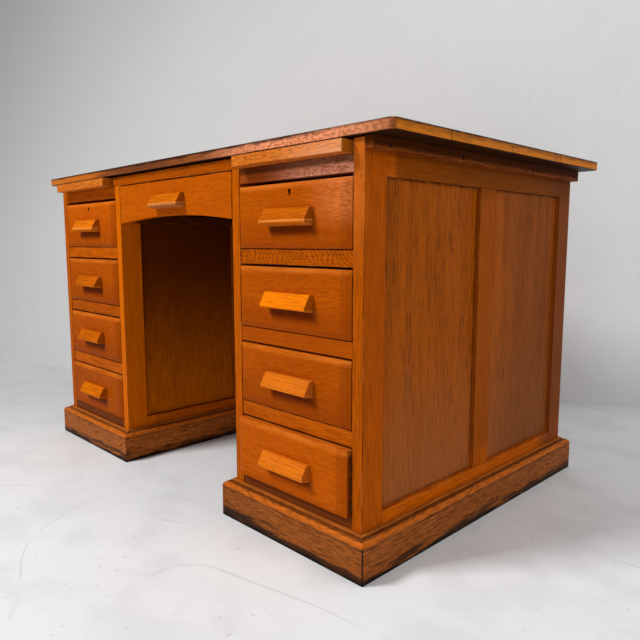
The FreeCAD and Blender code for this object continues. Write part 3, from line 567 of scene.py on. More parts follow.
@dataclass(frozen=True)
class Steel:
    """Dull old steel with brown spots."""

    name: str
    metal: Colour = (0.2, 0.17, 0.15)
    rust: Colour = (0.06, 0.025, 0.012)
    spots: Patches = Patches((420.0, 420.0, 420.0), 0.45, 0.65, 3.0)
    roughness: float = 0.35
    rust_roughness: float = 0.4
    relief: float = 0.05 * MM
    metallic: float = 0.85

    def build(self) -> bpy.types.Material:
        """Write the node material of this finish.

        Returns:
            The finished material.
        """
        recipe = Recipe(self.name)
        spots = self.spots.draw(recipe, recipe.object_place())
        colour = recipe.blend(spots, self.metal, self.rust)
        return recipe.finish(colour, self.roughness + spots * self.rust_roughness, spots,
                             self.relief, Metallic=self.metallic)


@dataclass(frozen=True)
class Paint:
    """Pale paint of the studio, with faint scuffs and painted light and shade that change along one
    way.
    """

    name: str
    near: Colour
    far: Colour
    way: Place
    span: Band
    scuff: Colour
    scuff_depth: float
    roughness: float = 0.6
    sheen: Patches = Patches((1.3, 1.3, 1.3), 0.4, 0.66, 3.0)
    sheen_depth: float = 0.2
    specular: float = 0.2
    hair_cells: Place = (1.2, 1.5, 1.3)
    hair_count: float = 9.0
    hair_width: float = 0.022
    hair_depth: float = 0.8
    hair_places: Patches = Patches((4.0, 5.0, 4.5), 0.52, 0.6, 2.0)
    smears: Patches = Patches((7.0, 9.0, 8.0), 0.44, 0.66, 7.0)
    smear_depth: float = 0.35
    specks: Patches = Patches((60.0, 60.0, 60.0), 0.68, 0.74, 2.0)
    speck_depth: float = 0.9

    def build(self) -> bpy.types.Material:
        """Write the node material of this finish.

        Returns:
            The finished material.
        """
        recipe = Recipe(self.name)
        where = recipe.object_place()
        along = recipe.node("ShaderNodeVectorMath", {"operation": "DOT_PRODUCT"},
                            {0: where, 1: self.way})
        colour = recipe.blend(along("Value").rise(*self.span), self.near, self.far)
        rough = self.roughness + self.sheen.draw(recipe, where) * self.sheen_depth
        smear = self.smears.draw(recipe, where) * self.smear_depth
        speck = self.specks.draw(recipe, where) * self.speck_depth
        marks = (self._hairs(recipe, where) * self.hair_depth + smear + speck).least(1.0)
        colour = recipe.blend(marks * self.scuff_depth, colour, self.scuff)
        return recipe.finish(colour, rough, Specular_IOR_Level=self.specular)

    def _hairs(self, recipe: Recipe, where: Channel) -> Channel:
        """Hair scratches, which are contour lines of a slow noise, in places only.

        Args:
            recipe: The material's recipe.
            where: Coordinates in metres.

        Returns:
            Strength of the scratches.
        """
        turns = recipe.noise(where, self.hair_cells, detail=1.0) * self.hair_count
        line = abs(recipe.math("FRACT", turns) - 0.5).rise(self.hair_width, 0.0)
        return line * self.hair_places.draw(recipe, where)


X, Y, Z, LENGTH, WIDTH = Way

# Places that several stains share
FRONT_EDGE = Fade(Y, -0.3785, -0.38)
SIDE_EDGES = Fade(X, 0.6515, 0.653, middle=0.0)
OUTER_SIDES = Fade(X, 0.584, 0.587, middle=0.0)
RIGHT_HALF = Fade(X, 0.0, MM)
SLIDE_RAIL = (Fade(Z, 0.684, 0.688), RIGHT_HALF)
TOP_DRAWERS = Fade(Z, 0.56, 0.57)

# Plinth: grain, wear and grime, with painted highlights on the moulding and painted shade in and under
# it and at the foot
PLINTH_WEAR_AND_SHADE = (
    # Dark streaks along the boards
    StainAndLight((0.05, 0.016, 0.004), 0.32, (Fade(Z, 0.0, MM),), broken=1.0, cells=(34.0, 560.0, 560.0)),
    # Ovolo, worn golden, with a painted highlight
    StainAndLight((0.74, 0.16, 0.008), 0.75, (Fade(Z, 5.0 * MM, 2.5 * MM, 0.006, 69.5 * MM),),
          broken=0.8, cells=(60.0, 420.0, 420.0)),
    # Upper edge of the bead, worn golden, with a painted highlight
    StainAndLight((0.6, 0.16, 0.015), 0.6, (Fade(Z, 2.0 * MM, 1.0 * MM, 0.002, 78.0 * MM),), broken=0.5),
    # Painted shade in the quirk between ovolo and bead
    StainAndLight((0.014, 0.004, 0.001), 0.35, (Fade(Z, 1.2 * MM, 0.4 * MM, middle=74.3 * MM),)),
    # Painted shade under the ovolo
    StainAndLight((0.018, 0.006, 0.002), 0.7, (Fade(Z, 1.8 * MM, 0.4 * MM, 0.003, 62.0 * MM),), broken=0.5),
    # Grime that rises from the floor
    StainAndLight((0.03, 0.014, 0.008), 0.9, (Fade(Z, 0.024, 0.006, 0.07),)),
    # Darker grime by the kneehole, on the right
    StainAndLight((0.014, 0.008, 0.006), 0.7,
          (Fade(Z, 0.034, 0.014, 0.05), Fade(X, 0.42, 0.3, 0.1), Fade(X, 0.22, 0.222))),
    # Mitre at the right front corner
    StainAndLight((0.006, 0.003, 0.002), 0.85, (Fade(X, 0.607, 0.6105), Fade(Y, -0.39, -0.3925))),
    # Painted contact shade along the foot, where the plinth meets the floor
    StainAndLight((0.006, 0.004, 0.003), 0.95, (Fade(Z, 0.009, 0.002, 0.016),)),
)
# Top: wear and stains, with a painted sheen on the front edge and painted shade under its arrises
TOP_WEAR_SHEEN_AND_SHADE = (
    # Golden left end of the front edge
    StainAndLight((0.62, 0.17, 0.015), 0.75, (FRONT_EDGE, Fade(X, -0.25, -0.42, 0.1))),
    # Dull middle of the front edge
    StainAndLight((0.12, 0.034, 0.012), 0.75, (FRONT_EDGE, Fade(X, 0.24, 0.06, 0.2, middle=-0.12)), broken=0.3),
    # Right end of the front edge, rubbed bare, with a painted pale sheen
    StainAndLight((0.98, 0.37, 0.18), 0.95, (FRONT_EDGE, Fade(X, 0.12, 0.34, 0.2), Fade(X, 0.72, 0.5)),
          broken=0.6, cells=(110.0, 220.0, 220.0)),
    # Dark upper half of the front edge
    StainAndLight((0.022, 0.007, 0.005), 0.8, (FRONT_EDGE, Fade(Z, 0.7515, 0.7585, 0.016), Fade(X, 0.62, 0.4)),
          cells=(22.0, 120.0, 120.0)),
    # Dark upper arris of the front edge
    StainAndLight((0.022, 0.007, 0.005), 0.75, (FRONT_EDGE, Fade(Z, 0.755, 0.759, 0.006))),
    # Brown side edges
    StainAndLight((0.15, 0.042, 0.003), 0.7, (SIDE_EDGES, Fade(Z, 0.744, 0.758, 0.03)),
          cells=(120.0, 24.0, 240.0)),
    # Dark upper arris of the side edges
    StainAndLight((0.02, 0.006, 0.003), 0.9, (SIDE_EDGES, Fade(Z, 0.7555, 0.7585, 0.006)),
          cells=(120.0, 60.0, 120.0)),
    # Lower arris of all the edges, in shade
    StainAndLight((0.018, 0.006, 0.002), 0.95, (Fade(Z, 0.7428, 0.7414, 0.002),)),
    # Worn front part of the upper face
    StainAndLight((0.1, 0.028, 0.01), 0.55, (Fade(Z, 0.759, 0.7598), Fade(Y, -0.2, -0.4, 0.3)),
          broken=0.6, cells=(7.0, 22.0, 22.0)),
)
# Frames: painted shade farther back and under the top, painted light on the knee stile, a painted sheen
# and a redder stile
STILE_LIGHT_AND_SHADE = (
    # Painted shade, browner farther back
    StainAndLight((0.2, 0.05, 0.004), 0.5, (Fade(Y, -0.22, -0.06), Fade(Z, 0.12, 0.16))),
    # Shade on the back stiles of the outer sides
    StainAndLight((0.13, 0.036, 0.012), 0.68, (Fade(Y, 0.24, 0.33, 0.02), OUTER_SIDES)),
    # Redder middle of the right front stile
    StainAndLight((0.33, 0.058, 0.001), 0.35,
          (Fade(X, 0.586, 0.588), Fade(Y, -0.288, -0.296), Fade(Z, 0.2, 0.32, 0.05),
           Fade(Z, 0.66, 0.52, 0.05))),
    # Painted light on the front stile of the left knee side
    StainAndLight((0.86, 0.185, 0.001), 0.32, (Fade(X, 0.03, 0.02, middle=-0.24), Fade(Y, -0.285, -0.295))),
    # Upper rails, in the shade of the top
    StainAndLight((0.13, 0.034, 0.001), 0.65, (Fade(Z, 0.65, 0.69, 0.01), Fade(Y, -0.3, -0.285))),
    # Worn upper front of the right stile, with a painted sheen
    StainAndLight((0.74, 0.19, 0.025), 0.45,
          (Fade(Z, 0.48, 0.69, 0.05), Fade(Y, -0.369, -0.3705), Fade(X, 0.55, 0.555)),
          broken=0.4, cells=(90.0, 300.0, 300.0)),
)
PANEL_FADE = (
    # Golden patches
    StainAndLight((0.56, 0.122, 0.001), 0.26, (Fade(Z, 0.08, 0.4, 0.1),), broken=1.0, cells=(2.4, 28.0, 28.0)),
    # Dull, paler foot
    StainAndLight((0.36, 0.13, 0.045), 0.38, (Fade(Z, 0.42, 0.1, 0.16),), cells=(2.0, 20.0, 20.0)),
    # Painted shade, browner towards the back
    StainAndLight((0.11, 0.034, 0.008), 0.48, (Fade(Y, 0.01, 0.15, 0.08),), cells=(1.6, 20.0, 20.0)),
)
# Painted shade, darker towards the top of the kneehole
KNEE_SHADE = (StainAndLight((0.08, 0.012, 0.001), 0.92, (Fade(Z, 0.11, 0.56, 0.05),)),)
# Drawer fronts: painted shade below and at the right margin, a painted shadow round the pull, painted
# sheen, and keyholes
FRONT_WEAR_LIGHT_AND_SHADE = (
    # Painted shade: redder, darker lower half, but not of the lowest drawers
    StainAndLight((0.23, 0.034, 0.001), 0.42, (Fade(WIDTH, 0.016, -0.04, 0.02), Fade(Z, 0.22, 0.26))),
    # Painted shade on the right margin, redder
    StainAndLight((0.23, 0.036, 0.001), 0.4, (Fade(LENGTH, 124.0 * MM, 128.5 * MM),)),
    # Painted sheen along the upper bevel
    StainAndLight((0.76, 0.205, 0.022), 0.5, (Fade(WIDTH, 47.0 * MM, 55.0 * MM, 0.006),), broken=0.6),
    # Painted shadow under and round the pull
    StainAndLight((0.075, 0.01, 0.001), 0.78,
          (Fade(LENGTH, 67.0 * MM, 52.0 * MM, middle=4.0 * MM),
           Fade(WIDTH, 15.0 * MM, 3.0 * MM, middle=-23.0 * MM))),
    # Painted sheen on the upper right of the right top drawer
    StainAndLight((0.74, 0.23, 0.07), 0.5, (Fade(Z, 0.585, 0.64, 0.03), Fade(X, 0.44, 0.54, 0.04)),
          broken=0.7, cells=(80.0, 320.0, 320.0)),
    # Keyholes of the top drawers
    StainAndLight((0.02, 0.006, 0.002), 0.9,
          (Fade(LENGTH, 4.4 * MM, 3.0 * MM, middle=0.0),
           Fade(WIDTH, 4.8 * MM, 3.4 * MM, middle=43.0 * MM), TOP_DRAWERS)),
)
PULL_WEAR_AND_HIGHLIGHT = (
    # Painted highlight along the lip of the top pulls
    StainAndLight((0.98, 0.44, 0.11), 0.45, (Fade(WIDTH, 2.4 * MM, 1.0 * MM, 0.001, -6.8 * MM), TOP_DRAWERS),
          broken=0.5),
    # Redder pulls of the lower right drawers
    StainAndLight((0.74, 0.19, 0.026), 0.4, (Fade(Z, 0.4, 0.38), RIGHT_HALF),
          broken=0.6, cells=(70.0, 260.0, 260.0)),
    # Golden lower edge
    StainAndLight((0.8, 0.26, 0.03), 0.35, (Fade(WIDTH, -9.0 * MM, -12.0 * MM, 0.004),), broken=0.5),
    # Dull lip of the centre pull
    StainAndLight((0.42, 0.15, 0.06), 0.75,
          (Fade(WIDTH, -4.0 * MM, -7.0 * MM, 0.01), Fade(X, 0.12, 0.11, middle=0.0)),
          broken=0.6, cells=(90.0, 240.0, 240.0)),
)
# Painted sheen on the front of the right slide, towards its outer end
LIPPING_SHEEN = (StainAndLight((0.9, 0.4, 0.2), 0.6, (Fade(X, 0.37, 0.55, 0.04), Fade(Y, -0.396, -0.3972)),
                      broken=0.4),)
# Upper edge of the cleats, in the shade of the top
CLEAT_SHADE = (StainAndLight((0.04, 0.009, 0.001), 0.85, (Fade(Z, 0.719, 0.73, 0.003),)),)
# Rails: browner and redder wood, painted sheen and shadow on the slide's rail, painted shade low down,
# and rings
RAIL_WEAR_LIGHT_AND_SHADE = (
    # Browner rail under the right slide
    StainAndLight((0.26, 0.054, 0.008), 0.8, SLIDE_RAIL),
    # Redder rail under the second right drawer
    StainAndLight((0.32, 0.052, 0.001), 0.55, (Fade(Z, 0.018, 0.014, middle=0.392), RIGHT_HALF)),
    # Painted sheen towards the outer end of the slide's rail
    StainAndLight((0.88, 0.37, 0.22), 0.85, (*SLIDE_RAIL, Fade(X, 0.32, 0.46, 0.08)),
          broken=0.65, cells=(110.0, 340.0, 340.0)),
    # Painted shadow of the slide's lipping along the rail's upper edge
    StainAndLight((0.04, 0.01, 0.003), 0.75, (*SLIDE_RAIL, Fade(Z, 0.7, 0.706, 0.004))),
    # Lowest rails, in shade
    StainAndLight((0.1, 0.027, 0.009), 0.8, (Fade(Z, 0.1, 0.0975),)),
    # Rings of the rail under the right top drawer
    Crossing((0.13, 0.022, 0.002), 0.7, pitch=12.0 * MM, lean=5.0, left_end=-0.137, low=0.532,
             high=0.5605),
)
TAIL_SHADE = (
    # Painted shade on the front ends of the sides
    StainAndLight((0.06, 0.018, 0.004), 0.95, (Fade(Y, -0.35, -0.362),)),
    # Shaded underside of the centre drawer
    StainAndLight((0.03, 0.009, 0.002), 0.9, (Fade(X, 0.25, 0.235, middle=0.0), Fade(Z, 0.656, 0.655))),
)


class Wood(Enum):
    """The finishes of the desk's wooden pieces."""

    TOP = Oak("oak_top", (0.4, 0.11, 0.026), (0.2, 0.05, 0.014), pore_depth=0.75, dirt_width=2.2 * MM,
              end=(0.69, 0.2, 0.004), specular=0.05, stains=TOP_WEAR_SHEEN_AND_SHADE)
    STILE = Oak("oak_stile", (0.57, 0.112, 0.001), (0.37, 0.062, 0.001), pore_depth=0.55,
                stains=STILE_LIGHT_AND_SHADE)
    # Side panels: the grime line set in from their edge also paints the shade where the frame meets
    # them
    PANEL = Oak("oak_panel", (0.47, 0.098, 0.001), (0.25, 0.054, 0.002), ring=2.4 * MM, pore_depth=0.8,
                streaks=Patches((20.0, 520.0, 520.0)), border=8.0 * MM, dirt_depth=0.95,
                dirt_width=2.6 * MM, specular=0.03, stains=PANEL_FADE)
    # Paler copy of the panel oak for the kneehole sides, painted lighter, with painted shade towards
    # the top
    KNEE_PANEL = Oak("oak_knee_panel", (0.64, 0.15, 0.001), (0.4, 0.085, 0.001), ring=2.4 * MM,
                     pore_depth=0.66, streaks=Patches((18.0, 560.0, 560.0)), border=8.0 * MM,
                     stains=KNEE_SHADE)
    # Drawer fronts: their near-black ends and wide arris grime paint the shade on their ends and in the
    # gaps round them
    FRONT = Oak("oak_drawer_front", (0.54, 0.099, 0.001), (0.35, 0.057, 0.001), pore_depth=0.42,
                streaks=Patches((45.0, 560.0, 560.0)), dirt_width=2.2 * MM, end=(0.07, 0.018, 0.003),
                tone_spread=0.15, stains=FRONT_WEAR_LIGHT_AND_SHADE)
    CENTRE = Oak("oak_centre_front", (0.56, 0.104, 0.001), (0.4, 0.068, 0.001), pore_depth=0.38,
                 streaks=Patches((40.0, 560.0, 560.0)), dirt_width=2.2 * MM)
    PULL = Oak("oak_pull", (0.82, 0.195, 0.001), (0.58, 0.098, 0.001), pore_depth=0.5, dirt_depth=0.45,
               worn=(0.9, 0.34, 0.08), worn_depth=0.6, tone_spread=0.3, end=(0.3, 0.07, 0.002),
               stains=PULL_WEAR_AND_HIGHLIGHT)
    FRIEZE = Oak("oak_frieze", (0.57, 0.11, 0.001), (0.36, 0.06, 0.001), pore_depth=0.55,
                 fleck_depth=0.12)
    RAIL = Oak("oak_rail", (0.58, 0.113, 0.001), (0.38, 0.064, 0.001), pore_depth=0.55,
               stains=RAIL_WEAR_LIGHT_AND_SHADE)
    PLINTH = Oak("oak_plinth", (0.57, 0.156, 0.024), (0.29, 0.076, 0.013), mottle=0.35, pore_depth=0.85,
                 bundle_depth=0.05, streaks=Patches((42.0, 560.0, 560.0)), worn_depth=0.6,
                 specular=0.03, stains=PLINTH_WEAR_AND_SHADE)
    CLEAT = Oak("oak_cleat", (0.36, 0.078, 0.01), (0.21, 0.044, 0.005), pore_depth=0.8,
                stains=CLEAT_SHADE)
    # Near-black oak of the centre runners: painted shade under the top
    SHADED = Oak("oak_shaded", (0.12, 0.026, 0.002), (0.06, 0.012, 0.001))
    LIPPING = Oak("oak_lipping", (0.8, 0.215, 0.024), (0.54, 0.12, 0.01), dirt_depth=0.5,
                  streaks=Patches((70.0, 620.0, 620.0)), end=(0.34, 0.095, 0.002), stains=LIPPING_SHEEN)
    LINING = Oak("drawer_lining", (0.48, 0.27, 0.11), (0.34, 0.17, 0.065), pore_depth=0.35,
                 dirt_depth=0.35, roughness=0.6, specular=0.0, stains=TAIL_SHADE)
    INNER = Oak("inner_wood", (0.33, 0.15, 0.055), (0.22, 0.09, 0.03), roughness=0.6, specular=0.0)
    LEAF = Oak("oak_slide_leaf", (0.42, 0.14, 0.025), (0.27, 0.08, 0.014))


class Cut(Enum):
    """Angle between a board's face and its growth rings' radius, in degrees."""

    FLAT = 12.0
    RIFT = 45.0
    QUARTER = 82.0


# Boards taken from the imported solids


# Corners that round to the same step are one corner
STEPS_PER_METRE = 1e6


@dataclass
class Solid:
    """One closed piece of a packed sub-part."""

    points: np.ndarray
    faces: list[tuple[int, ...]]

    def extent(self) -> tuple[np.ndarray, np.ndarray]:
        """Centre and half sizes."""
        low, high = self.points.min(0), self.points.max(0)
        return (low + high) / 2, (high - low) / 2


def solids_of(node: str) -> list[Solid]:
    """Part a packed sub-part into its separate pieces.

    Args:
        node: Name of the sub-part.

    Returns:
        Its closed pieces, in the order in which they were packed.
    """
    mesh = frame["nodes"][node].data
    places = np.empty(len(mesh.vertices) * 3, np.float32)
    mesh.vertices.foreach_get("co", places)
    corners = np.empty(len(mesh.polygons) * 3, np.int32)
    mesh.polygons.foreach_get("vertices", corners)
    steps = np.round(places.reshape(-1, 3).astype(float) * STEPS_PER_METRE).astype(np.int64)
    points, index = np.unique(steps, axis=0, return_inverse=True)
    triangles = [tuple(map(int, row)) for row in index.reshape(-1)[corners].reshape(-1, 3)]
    triangles = [row for row in triangles if len(set(row)) == 3]
    groups = defaultdict(list)
    for row, leader in zip(triangles, joined_triangles(triangles)):
        groups[leader].append(row)
    found = []
    for rows in groups.values():
        used = sorted({corner for row in rows for corner in row})
        number = {corner: place for place, corner in enumerate(used)}
        faces = [tuple(number[corner] for corner in row) for row in rows]
        found.append(Solid(points[used] / STEPS_PER_METRE, faces))
    return found


def joined_triangles(triangles: list[tuple[int, ...]]) -> list[int]:
    """Follow shared edges from triangle to triangle.

    Args:
        triangles: Corner numbers of each triangle. Where an edge has four triangles, two
            pieces touch along it, and the triangles are paired in the order given.

    Returns:
        For each triangle, the number of the first triangle of its piece.
    """
    sharing = defaultdict(list)
    for number, (a, b, c) in enumerate(triangles):
        for side in ((a, b), (b, c), (c, a)):
            sharing[frozenset(side)].append(number)
    leaders = list(range(len(triangles)))

    def lead(number: int) -> int:
        """Leader of one triangle, with the chain to it shortened.

        Args:
            number: Number of the triangle.

        Returns:
            Number of its leader.
        """
        while leaders[number] != number:
            leaders[number] = leaders[leaders[number]]
            number = leaders[number]
        return number

    for numbers in sharing.values():
        for first, second in zip(numbers[::2], numbers[1::2]):
            leaders[lead(second)] = lead(first)
    return [lead(number) for number in range(len(triangles))]


def placed(name: str, data: bpy.types.ID) -> bpy.types.Object:
    """Put an object with this data into the scene, at the origin.

    Args:
        name: Name of the new object.
        data: Its mesh, light or camera.

    Returns:
        The new object.
    """
    thing = bpy.data.objects.new(name, data)
    bpy.context.collection.objects.link(thing)
    return thing


@dataclass(frozen=True)
class Joinery:
    """How the boards of a sub-part are sawn and how far their arrises are eased."""

    arris: float
    cut: Cut
    seed: int
    segments: int = 2
    tone: float | None = None
    flat_angle: float = math.radians(0.4)
    sharp_angle: float = math.radians(11.0)
    shortest_arris: float = 2.5 * MM
    roundness: float = 0.6
    cut_spread: float = 9.0
    pith_distance: Band = (0.06, 0.16)
    pith_shift: float = 4.0
    lean_spread: float = 0.03

    def piece(self, name: str, solids: list[Solid]) -> bpy.types.Object:
        """Make one piece out of boards.

        Args:
            name: Name of the new piece, which also seeds its grain.
            solids: Shapes of the boards.

        Returns:
            The piece, at the origin, with its grain attributes.
        """
        chance = random.Random(f"{self.seed} {name}")
        joined = bmesh.new()
        layers = {key: joined.verts.layers.float_vector.new(key)
                  for key in ("grain", "place", "half", "tone")}
        for solid in solids:
            board = self._eased(solid)
            self._append(joined, layers, board, solid, chance)
            board.free()
        mesh = bpy.data.meshes.new(name)
        joined.to_mesh(mesh)
        joined.free()
        return placed(name, mesh)

    def _eased(self, solid: Solid) -> bmesh.types.BMesh:
        """One board as whole faces, with its outer arrises rounded.

        Args:
            solid: Shape of the board.

        Returns:
            The board, for the caller to free.
        """
        board = bmesh.new()
        corners = [board.verts.new(point) for point in solid.points]
        for face in solid.faces:
            board.faces.new([corners[number] for number in face])
        bmesh.ops.dissolve_limit(board, angle_limit=self.flat_angle, verts=board.verts,
                                 edges=board.edges, delimit=set())
        sharp = [edge for edge in board.edges
                 if edge.is_manifold and edge.is_convex
                 and edge.calc_length() > self.shortest_arris
                 and edge.calc_face_angle() > self.sharp_angle]
        for face in board.faces:
            face.smooth = False
        rounded = bmesh.ops.bevel(board, geom=sharp, offset=self.arris, offset_type="OFFSET",
                                  segments=self.segments, profile=self.roundness,
                                  affect="EDGES", clamp_overlap=True)
        for face in rounded["faces"]:
            face.smooth = True
        return board

    def _append(self, joined: bmesh.types.BMesh, layers: dict[str, object],
                board: bmesh.types.BMesh, solid: Solid, chance: random.Random) -> None:
        """Add one board to the piece with its grain coordinates.

        Args:
            joined: The piece so far.
            layers: Vertex layers of the piece by name.
            board: The eased board.
            solid: Its shape before easing.
            chance: Source of this piece's random numbers.
        """
        centre, half = solid.extent()
        order = np.argsort(-half)
        angle = math.radians(self.cut.value + chance.uniform(-self.cut_spread, self.cut_spread))
        distance = chance.uniform(*self.pith_distance)
        pith = np.array([chance.uniform(-self.pith_shift, self.pith_shift),
                         distance * math.sin(angle), distance * math.cos(angle)])
        lean = chance.uniform(-self.lean_spread, self.lean_spread)
        tone = Vector([chance.random() for _ in range(3)])
        if self.tone is not None:
            tone[0] = self.tone
        twin = {}
        for vertex in board.verts:
            place = (np.array(vertex.co) - centre)[order]
            twin[vertex] = joined.verts.new(vertex.co)
            grain = place + pith
            grain[1] += lean * place[0]
            values = {"grain": grain, "place": place, "half": half[order], "tone": tone}
            for key, value in values.items():
                twin[vertex][layers[key]] = Vector(value)
        for face in board.faces:
            joined.faces.new([twin[vertex] for vertex in face.verts]).smooth = face.smooth


class Workshop:
    """Makes pieces and hangs them in place of the sub-parts they stand for."""

    def __init__(self) -> None:
        """Read which body and slot each sub-part has; no material is made yet."""
        record = frame["record"]
        self.made: dict[str, bpy.types.Material] = {}
        self.body_of = {node: body for body, nodes in record["behaviour"]["bodies"].items()
                        for node in nodes}
        self.slot_of = {part["node"]: part["material_slot"] for part in record["subparts"]}

    def material(self, finish: Oak | Steel | Paint) -> bpy.types.Material:
        """The material of a finish, made once.

        Args:
            finish: Any finish of the desk or the studio.

        Returns:
            Its material.
        """
        if finish.name not in self.made:
            self.made[finish.name] = finish.build()
        return self.made[finish.name]

    def wood(self, node: str, wood: Wood, joinery: Joinery) -> None:
        """Make and hang the boards of one sub-part.

        Args:
            node: Sub-part that the piece stands for.
            wood: Its finish.
            joinery: How its boards are sawn and eased.
        """
        self.hang(joinery.piece(f"{node}_boards", solids_of(node)), node, wood.value)

    def hang(self, piece: bpy.types.Object, node: str, finish: Oak | Steel) -> None:
        """Dress a piece and let it stand for a sub-part of its body.

        Args:
            piece: The new piece.
            node: Sub-part that it stands for.
            finish: Its finish.
        """
        piece.data.materials.clear()
        piece.data.materials.append(self.material(finish))
        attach(piece, self.body_of[node])
        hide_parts(node)
        LOG.info("%s: %d faces in %s", piece.name, len(piece.data.polygons), finish.name)

    def dress(self, node: str, finish: Steel) -> None:
        """Give a packed sub-part that keeps its own mesh a new material.

        Args:
            node: The sub-part.
            finish: Its finish.
        """
        for slot in frame["nodes"][node].material_slots:
            slot.material = self.material(finish)
        LOG.info("%s: own mesh in %s", node, finish.name)


# Sub-assemblies


@dataclass
class Top:
    """Glued boards of the top."""

    arris: float = 0.5 * MM

    def make(self, workshop: Workshop) -> None:
        """Make the boards."""
        workshop.wood("desktop", Wood.TOP, Joinery(self.arris, Cut.FLAT, seed=3))


@dataclass
class Pedestal:
    """Panelled sides, back, rails, runners, cleat and plinth of one pedestal."""

    side: str
    arris: float = 0.5 * MM
    cleat_arris: float = 1.0 * MM
    plinth_arris: float = 1.0 * MM

    def make(self, workshop: Workshop) -> None:
        """Make every standing piece of the pedestal.

        Args:
            workshop: Makes the pieces.
        """
        rift = Joinery(self.arris, Cut.RIFT, seed=11)
        quarter = Joinery(self.arris, Cut.QUARTER, seed=12)
        for part, wood, joinery in (
                ("outer_frame", Wood.STILE, rift),
                ("inner_frame", Wood.STILE, rift),
                ("back_frame", Wood.STILE, rift),
                ("outer_panels", Wood.PANEL, quarter),
                ("inner_panels", Wood.KNEE_PANEL, quarter),
                ("back_panel", Wood.PANEL, quarter),
                ("drawer_rails", Wood.RAIL, rift),
                ("runners", Wood.INNER, rift),
                ("batten", Wood.CLEAT, replace(rift, arris=self.cleat_arris)),
                ("plinth", Wood.PLINTH, Joinery(self.plinth_arris, Cut.FLAT, seed=13))):
            workshop.wood(f"{self.side}_{part}", wood, joinery)


@dataclass
class Kneehole:
    """Back, frieze rail, runners and stops between the pedestals."""

    arris: float = 0.5 * MM

    def make(self, workshop: Workshop) -> None:
        """Make the pieces of the kneehole.

        Args:
            workshop: Makes the pieces.
        """
        rift = Joinery(self.arris, Cut.RIFT, seed=5)
        workshop.wood("kneehole_back_frame", Wood.STILE, rift)
        workshop.wood("kneehole_back_panels", Wood.PANEL, replace(rift, cut=Cut.QUARTER))
        workshop.wood("frieze_rail", Wood.FRIEZE, rift)
        workshop.wood("centre_runners", Wood.SHADED, rift)
        workshop.wood("drawer_stops", Wood.INNER, replace(rift, cut=Cut.FLAT))


@dataclass
class Drawer:
    """One drawer: front, dovetailed box, pull and perhaps a lock."""

    name: str
    seed: int
    front_tone: float
    pull_tone: float
    wood: Wood = Wood.FRONT
    locked: bool = False
    front_arris: float = 1.2 * MM
    box_arris: float = 0.3 * MM
    pull_arris: float = 1.3 * MM

    def make(self, workshop: Workshop) -> None:
        """Make the pieces of the drawer.

        Args:
            workshop: Makes the pieces.
        """
        workshop.wood(f"{self.name}_front", self.wood,
                      Joinery(self.front_arris, Cut.FLAT, self.seed, tone=self.front_tone))
        workshop.wood(f"{self.name}_box", Wood.LINING,
                      Joinery(self.box_arris, Cut.RIFT, self.seed))
        workshop.wood(f"{self.name}_pull", Wood.PULL,
                      Joinery(self.pull_arris, Cut.RIFT, self.seed, segments=3, tone=self.pull_tone))
        if self.locked:
            workshop.dress(f"{self.name}_lock", Steel("lock_steel"))


@dataclass
class WritingSlide:
    """Pull-out slide: lipping and leaf."""

    side: str
    lipping_arris: float = 0.9 * MM
    leaf_arris: float = 0.5 * MM

    def make(self, workshop: Workshop) -> None:
        """Make the pieces of the slide.

        Args:
            workshop: Makes the pieces.
        """
        workshop.wood(f"{self.side}_slide_lipping", Wood.LIPPING,
                      Joinery(self.lipping_arris, Cut.RIFT, seed=21))
        workshop.wood(f"{self.side}_slide_board", Wood.LEAF,
                      Joinery(self.leaf_arris, Cut.FLAT, seed=22))


HEAD_SIDES = 40
SHANK_SIDES = 24


